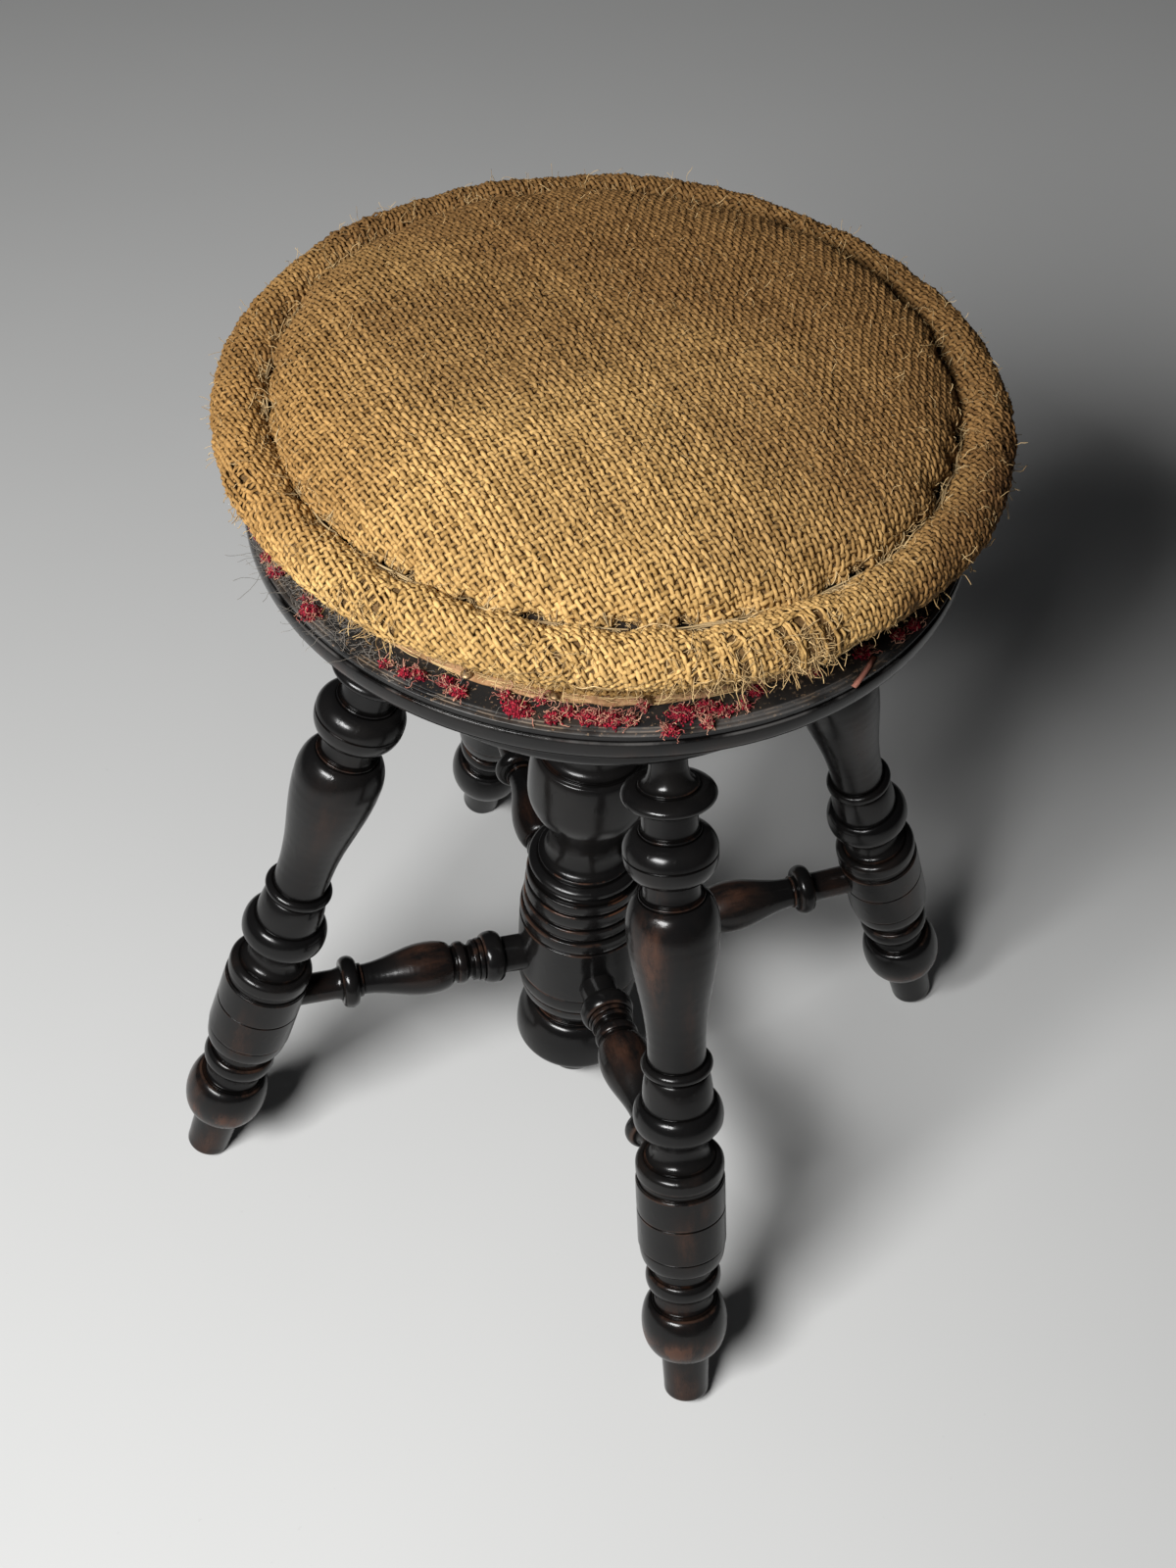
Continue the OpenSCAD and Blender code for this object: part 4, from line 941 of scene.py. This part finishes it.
border_weave()


def roll_ground():
    """The roll's stuffed body, under its threads, in the dark ground that paints the shade in the
    gaps between them.
    """
    shares = np.arange(30) / 30 * TAU / (ROLL_FROM - ROLL_TO)
    return grid_piece("edge_roll_body", skins(roll_at, shares, 240, 0.6)[0], ground,
                      ("edge_roll",))


def border_ground():
    """A thin closed sheet inside the border's threads, in dark jute that paints the shade in the
    gaps between them.
    """
    outer, inner = skins(border_at, np.linspace(0, 1, 10), 240, 0.5, 1.1)
    return grid_piece("border_ground", np.concatenate([outer, inner[::-1]]), ground)


def hem():
    """The border's hem, folded out on the ledge, with a worn edge."""
    columns = 480
    turns = round_turns(columns)
    rim = on_rim(turns, BORDER_FOOT_R)
    outer = BORDER_FOOT_R + HEM_W + 0.5 * waves(rim, 30, 71) + 0.45 * waves(rim, 8, 72)
    rise = BOARD_TOP + 0.12 + np.clip(0.35 * waves(rim, 14, 73), 0, 1)
    section = [(0.0, 0.0), (0.5, 0.0), (1.0, 0.0), (1.04, 0.55), (1.0, 1.05), (0.7, 1.35),
               (0.3, 1.45), (0.0, 1.6)]
    grid = []
    for share, height in section:
        r = BORDER_FOOT_R + 0.5 + (outer - BORDER_FOOT_R - 0.5) * share
        place = np.stack([turns * 150, np.full(columns, share * 9)], 1)
        puff = 0.35 * waves(place, 7, 74) * (height > 0.5)
        grid.append(round_points(r, turns, rise + height + np.maximum(puff, -0.3)))
    return grid_piece("border_hem", np.array(grid), hem_cloth, ("border_band",))


roll = roll_ground()
border = border_ground()
hem_piece = hem()


def horsehair():
    """The stuffing: a dark lumpy body under the cloth."""
    columns = 120
    s_values = np.concatenate([np.linspace(1, PAD_REACH * 0.95, 30), [PAD_REACH]])
    below = [(ROLL_R - ROLL_SECTION_R - 2, ROLL_Z), (BORDER_TOP_R - 6, ROLL_Z - ROLL_SECTION_R),
             (BORDER_FOOT_R - 0.5, BOARD_TOP + 0.3), (2, BOARD_TOP + 0.3)]
    lower = [round_points(r, round_turns(columns), z) for r, z in below]
    grid = np.concatenate(skins(pad_round, s_values, columns, 2.2) + [lower])
    return grid_piece("horsehair_stuffing", grid, hair, ("stuffing",), closed=False)


stuffing = horsehair()


def wander(start, way, length, count, source, curl):
    """A fibre's line: it leaves start along way and curls as it goes."""
    step = length / (count - 1)
    line = [np.asarray(start, float)]
    way = np.asarray(way, float) / (np.linalg.norm(way) + 1e-9)
    for _ in range(count - 1):
        way = way + source.normal(0, curl, 3)
        way /= np.linalg.norm(way)
        line.append(line[-1] + way * step)
    return np.array(line)


# Long straws that lie in the seam or on the roll: from and to in degrees, from and to as shares
# of the way round the section, and how far they stand off
STRAWS = [
    (-144, -132, 0.03, 0.02, 1.2), (-128, -120, 0.02, 0.06, 1.0), (-104, -97, 0.06, 0.02, 1.6),
    (-103, -98.5, 0.01, 0.09, 2.0), (-91, -79, 0.02, 0.05, 1.4), (-63, -53, 0.04, 0.02, 1.6),
    (-60, -50, 0.01, 0.05, 1.2), (-84, -77, 0.60, 0.52, 1.4), (-83.5, -76, 0.63, 0.60, 1.8),
    (-84, -79, 0.47, 0.60, 1.5), (-81, -75.5, 0.42, 0.55, 1.6), (-93, -88, 0.55, 0.60, 1.2),
    (-79, -73, 0.64, 0.58, 2.0), (-112, -107, 0.57, 0.60, 1.2), (-33, -25, 0.03, 0.05, 1.4)]


def seam_work():
    """The twine in the valley, broken in places, and the stitches that cross it."""
    strands = Strands()
    source = rng(81)
    turn = np.linspace(0, TAU, 1400)
    rim = on_rim(turn)
    for lane in range(4):
        r = VALLEY_R + 0.2 + 0.45 * lane + 0.5 * waves(rim, 12, 820 + lane)
        line = round_points(r, turn, VALLEY_Z + 0.6 + 0.5 * waves(rim, 15, 830 + lane))
        shade = np.clip(0.4 + 0.3 * waves(rim, 20, 850 + lane), 0, 1)
        for run in runs(waves(rim, 26, 840 + lane) > 0.15):
            strands.add(line[run], (0, 0, 1), 0.8, 0.75, shade[run], 5)
    share = np.linspace(0, 1, 8)
    rise = 0.5 + 0.7 * np.sin(math.pi * share)[:, None]
    for turn in np.repeat(STITCH_TURNS, 3):
        near = turn + source.normal(0, 0.008)
        far = near + source.uniform(-0.03, 0.05)
        over, over_n = roll_at(near + (far - near) * share,
                               0.01 + source.uniform(0.04, 0.11) * share)
        strands.add(over + over_n * rise, over_n, 0.55, 0.5, source.uniform(0.1, 0.9), 4)
        s = PAD_REACH + 0.5 - source.uniform(3, 8) * share
        down, down_n = pad_round(near + source.uniform(-0.03, 0.03) * share, s)
        strands.add(down + down_n * rise, down_n, 0.55, 0.5, source.uniform(0.1, 0.9), 4)
    strands.build("seam_twine", twine)


def straws():
    """Long pale straws pulled out of the weave."""
    strands = Strands()
    source = rng(85)
    share = np.linspace(0, 1, 24)
    for start, end, low, high, off in STRAWS:
        sway = 0.02 * np.sin(share * source.uniform(3, 9))
        points, normals = roll_at(np.radians(start + (end - start) * share),
                                  low + (high - low) * share + sway)
        rise = off * (0.5 + 0.6 * np.sin(math.pi * share))
        rise += 0.3 * waves(share[:, None] * 20, 6, int(-start))
        strands.add(points + normals * rise[:, None], normals, 0.62, 0.5, source.uniform(0.6, 1), 5)
    strands.build("pulled_straws", jute_fibre)


def pad_spot(turn, back):
    """A spot on the pad, so far back from the seam."""
    s = PAD_REACH - back
    return [v[0] for v in pad_at(np.array([s * math.cos(turn)]), np.array([s * math.sin(turn)]))]


def roll_spot(turn, share):
    return [v[0] for v in roll_at(np.array([turn]), np.array([share]))]


# How many loose fibres there are of each kind
SEAM_FIBRES = 620
UNDER_FIBRES = 1700
FRAY_FIBRES = 34
GAP_FIBRES = 22
ROLL_FIBRES = 700
PAD_FIBRES = 700
HEM_FIBRES = 360
HAIRS = 420


def loose_fibres():
    """Fibres that stand off the cloth: along the seam, under the roll and from frayed ends."""
    strands = Strands()
    source = rng(91)

    def stray(spot, along_normal, spread, *more):
        way = spot[1] * along_normal + source.normal(0, spread, 3)
        strands.fibre(source, spot[0], way, *more)

    for _ in range(SEAM_FIBRES):
        if source.uniform() < 0.5:
            spot = roll_spot(source.uniform(0, TAU), source.uniform(0, 0.12))
        else:
            back = source.uniform(0, 7)
            spot = pad_spot(source.uniform(0, TAU), back)
        stray(spot, 0.5, 0.7, (4, 12), 7, 0.35, (0.28, 0.28), (0.1, 1))
    for _ in range(UNDER_FIBRES):
        turn = source.uniform(-math.pi, math.pi)
        amount = float(spots_at(np.array([turn]), FRAYS)[0])
        if source.uniform() > 0.3 + 0.7 * amount:
            continue
        p, n = roll_spot(turn, source.uniform(0.56, 0.8))
        way = n * 0.4 + np.array([0, 0, -0.6]) + source.normal(0, 0.6, 3)
        strands.fibre(source, p, way, (3, 8 + 4 * amount), 8, 0.3, (0.34, 0.34), (0, 0.9),
                      BOARD_TOP + 0.8)
    for angle, half, strength in FRAYS[:5]:
        for _ in range(int(FRAY_FIBRES * half * strength)):
            turn = math.radians(source.normal(angle, half * 0.55))
            p, n = roll_spot(turn, source.uniform(0.34, 0.62))
            stray((p + n * 0.4, n), 0.1, 0.9, (4, 12), 9, 0.2, (0.36, 0.32), (0, 0.9))
    for angle, half, depth in PAD_GAPS:
        for _ in range(GAP_FIBRES):
            turn = math.radians(source.normal(angle, half * 0.8))
            spot = pad_spot(turn, source.uniform(-0.5, depth + 1))
            stray(spot, 0.3, 0.8, (2, 7), 7, 0.35, (0.34, 0.3), (0, 0.9))
    for _ in range(ROLL_FIBRES):
        spot = roll_spot(source.uniform(0, TAU), source.uniform(0.1, 0.6))
        stray(spot, 0.3, 0.8, (3, 9), 6, 0.4, (0.22, 0.22), (0.2, 1))
    for _ in range(PAD_FIBRES):
        back = PAD_REACH * (1 - math.sqrt(source.uniform(0, 0.95)))
        p, n = pad_spot(source.uniform(0, TAU), back)
        stray((p + n * 0.6, n), 0.2, 0.8, (2, 7), 5, 0.4, (0.2, 0.2), (0.2, 1))
    strands.build("loose_fibres", jute_fibre)


def grey_hairs():
    """Stuffing hair that has come out between the roll and the ledge, mostly on the left."""
    strands = Strands()
    source = rng(95)
    for _ in range(HAIRS):
        turn = math.radians(source.normal(-168, 14))
        foot = round_points(source.uniform(147, 162), turn, BOARD_TOP + source.uniform(0.2, 1.5))
        strands.fibre(source, foot, source.normal(0, 1, 3) * (1, 1, 0.4), (5, 16), 10, 0.3,
                      (0.16, 0.16), (0.2, 1), BOARD_TOP + 0.2)
    for angle, length in ((-172, 26), (-169, 20), (-175, 18), (-166, 14)):
        turn = math.radians(angle)
        way = (math.cos(turn), math.sin(turn) - 0.5, 0.25)
        line = wander(round_points(160, turn, BOARD_TOP + 1), way, length, 16, source, 0.16)
        strands.add(line, (0, 0, 1), 0.2, 0.2, 0.4, 3)
    strands.build("grey_hairs", hair_fibre, "horsehair")


def hem_fibres():
    """The threads of the hem, which run along it, worn loose at its edge."""
    strands = Strands()
    source = rng(97)
    turn = np.linspace(0, TAU, 1200)
    rim = on_rim(turn)
    for lane in range(7):
        r = BORDER_FOOT_R + 1.4 + 0.7 * lane + 0.4 * waves(rim, 16, 970 + lane)
        z = BOARD_TOP + 1.85 + 0.22 * waves(rim, 14, 73) - (0.6 if lane > 5 else 0)
        line = round_points(r, turn, z)
        shade = np.clip(0.55 + 0.35 * waves(rim, 12, 980 + lane), 0, 1)
        for run in runs(waves(rim, 9, 990 + lane) > -0.25):
            strands.add(line[run], (0, 0, 1), 0.6, 0.4, shade[run])
    for _ in range(HEM_FIBRES):
        turn = source.uniform(0, TAU)
        foot = round_points(BORDER_FOOT_R + source.uniform(2, 6.2), turn, BOARD_TOP + 1.6)
        way = np.array([-math.sin(turn), math.cos(turn), 0.1]) * source.choice([-1, 1])
        strands.fibre(source, foot, way + source.normal(0, 0.3, 3), (4, 11), 7, 0.2,
                      (0.3, 0.26), (0.2, 1), BOARD_TOP + 0.6)
    strands.build("hem_fibres", jute_fibre)


seam_work()
straws()
loose_fibres()
grey_hairs()
hem_fibres()


# Tacks and what is left of the velvet
VELVET_TACKS = [(-137, 153), (-132.5, 151), (-123, 148.5), (-113, 150)]


def tacks():
    """Domed tack heads on the hem, a little uneven, with their shanks in the board."""
    head_r, count = 2.7, 24
    ring_r = box_mm("upholstery_tacks")[1][0] - head_r
    source = rng(101)
    strands = Strands()
    rise = np.array([-9.0, -0.2, 0.0, 0.0, 0.35, 0.85, 1.25, 1.5, 1.58])
    width = np.array([0.8, 0.8, 0.8, 2.62, 2.68, 2.3, 1.6, 0.8, 0.05])
    for turn in (np.arange(count) + 0.3) * TAU / count:
        foot = round_points(ring_r, turn, BOARD_TOP + HESSIAN_T + 0.25)
        line = foot + rise[:, None] * (*source.normal(0, 0.06, 2), 1)
        line[3, 2] += 0.01  # Two points in one place have no way between them
        strands.add(line, (1, 0, 0), 2 * width, 2 * width, source.uniform(), 14)
    rise = np.array([-4, 0.6, 0.7, 1.3, 1.9, 2.1])
    width = np.array([0.7, 0.8, 2.2, 2.0, 1.1, 0.1])
    for angle, r in VELVET_TACKS:
        line = round_points(r, math.radians(angle), BOARD_TOP + rise)
        strands.add(line, (1, 0, 0), 2 * width, 2 * width, source.uniform(), 14)
    strands.build("tack_heads", brass, "tack_brass", ("upholstery_tacks",))


# Each clump of torn velvet on the ledge: angle, radius, half width, and how threadbare it is
VELVET = [
    (-178, 158, 3.0, 0.2), (-173, 159, 2.6, 0.1), (-169.5, 158.5, 3.2, 0.1),
    (-161.5, 155, 1.8, 0.5), (-159, 157.5, 4.6, 0.2), (-142.5, 156, 1.6, 0.4),
    (-139, 155, 2.5, 0.2), (-137, 153, 2.8, 0.2), (-132.5, 151, 2.8, 0.3),
    (-130, 153.5, 3.0, 0.2), (-123, 148.5, 2.6, 0.5), (-120.5, 153.5, 5.2, 0.2),
    (-117.5, 146.5, 2.2, 1.0), (-115, 155.5, 3.0, 0.4), (-113, 151, 3.0, 0.4),
    (-109.5, 152.5, 5.2, 0.4), (-106.5, 153.5, 4.6, 0.5), (-103.5, 154, 2.6, 1.0),
    (-101.5, 146.5, 2.0, 0.9), (-98, 160.5, 2.8, 0.3), (-95.5, 151.5, 5.4, 0.2),
    (-92.5, 159, 2.6, 1.0), (-91.5, 150, 4.6, 0.3), (-89, 154, 3.0, 0.7), (-86, 153, 2.4, 1.0),
    (-83, 147, 2.6, 0.1), (-72, 147.5, 2.4, 0.2), (-63, 152, 3.2, 0.4), (-56, 155.5, 2.8, 0.2),
    (-52.5, 157.5, 2.6, 0.2), (24, 155, 3.0, 0.3), (71, 154, 3.6, 0.3), (75, 156, 2.4, 0.6),
    (118, 155, 3.0, 0.3), (152, 156, 3.4, 0.4)]


def velvet():
    """Tufts of crimson pile with the pinkish threads of their backing."""
    pile, threads = Strands(), Strands()
    source = rng(111)
    for angle, middle, half, bare in VELVET:
        turn = math.radians(angle)
        out = np.array([math.cos(turn), math.sin(turn)])
        along = np.array([-math.sin(turn), math.cos(turn)])
        for _ in range(int(15 * half ** 2 * (1 - 0.75 * bare)) + 12):
            off = source.normal(0, 0.42, 2) * half
            spot = out * (middle + off[0] * 0.8) + along * off[1]
            tall = 1.0 + 3.2 * math.exp(-(off @ off) / (0.5 * half ** 2)) * source.uniform(0.6, 1)
            lean = (out * off[0] + along * off[1]) * 0.25 + source.normal(0, 0.35, 2)
            line = wander((*spot, BOARD_TOP + 0.1), (*lean, 1), tall, 4, source, 0.4)
            pile.add(line, (1, 0, 0), 0.9, 0.75, source.uniform() ** 1.3, 4)
        for _ in range(int(4 + (3.8 + 7 * bare) * half)):
            off = source.normal(0, 0.5, 2) * half
            spot = out * (middle + off[0] * 0.9) + along * off[1] * 1.2
            foot = (*spot, BOARD_TOP + source.uniform(0.4, 2.8))
            way = (*source.normal(0, 1, 2), 0.3)
            line = wander(foot, way, source.uniform(2.5, 9), 12, source, 0.6)
            line[:, 2] = np.maximum(line[:, 2], BOARD_TOP + 0.3)
            threads.add(line, (0, 0, 1), source.uniform(0.26, 0.5), 0.34, source.uniform(), 3)
    # One scrap hangs over the edge as a ribbon
    line = round_points(np.array([156.5, 159, 161.5, 163]), np.radians([-62.5, -64.5, -67, -69]),
                        BOARD_TOP + np.array([1.2, 0.9, 0.8, -0.4]))
    threads.add(line, (0, 0, 1), 2.6, 0.5, 0.35)
    pile.build("velvet_pile", velvet_pile, "velvet", ("velvet_remnants",))
    threads.build("velvet_threads", velvet_back, "velvet")


tacks()
velvet()


# Floor, light and camera

def add_camera(place, azimuth, elevation, tilt, lens):
    """A camera that looks down from azimuth and elevation, turned by tilt, all in degrees."""
    azimuth, elevation, tilt = np.radians([azimuth, elevation, tilt]).tolist()
    level = math.cos(elevation)
    back = Vector((math.sin(azimuth) * level, -math.cos(azimuth) * level, math.sin(elevation)))
    right = (-back).cross(Vector((0, 0, 1))).normalized()
    up = right.cross(-back)
    x_axis = right * math.cos(tilt) + up * math.sin(tilt)
    y_axis = up * math.cos(tilt) - right * math.sin(tilt)
    data = bpy.data.cameras.new("camera")
    data.sensor_width, data.lens, data.clip_start = 36, lens, 0.01
    made = new_object("camera", data)
    made.matrix_world = Matrix((x_axis, y_axis, back)).transposed().to_4x4()
    made.location = place
    bpy.context.scene.camera = made


bpy.ops.mesh.primitive_plane_add(size=16)
plane = bpy.context.object
plane.name = "floor"
plane.data.materials.append(floor_paint("floor"))

# A softbox on the left
softbox = bpy.data.lights.new("key", "AREA")
softbox.shape = "RECTANGLE"
softbox.size, softbox.size_y, softbox.energy = 0.8, 0.5, 54
key = new_object("key", softbox)
key.location = (-1.05, -0.77, 1.44)
key_way = Vector((1.4, 0.6, 0.3)) - key.location
key.rotation_euler = key_way.to_track_quat("-Z", "Y").to_euler()

studio = bpy.data.worlds.new("studio")
studio.use_nodes = True
background = studio.node_tree.nodes["Background"]
background.inputs["Color"].default_value = (0.52, 0.53, 0.55, 1)
background.inputs["Strength"].default_value = 0.05
bpy.context.scene.world = studio

# The photograph's view: a long lens from the front left
add_camera((-0.2468, -0.7155, 1.0624), -18.954, 47.163, 3.519, 49.5)
bpy.context.scene.view_settings.view_transform = "Standard"
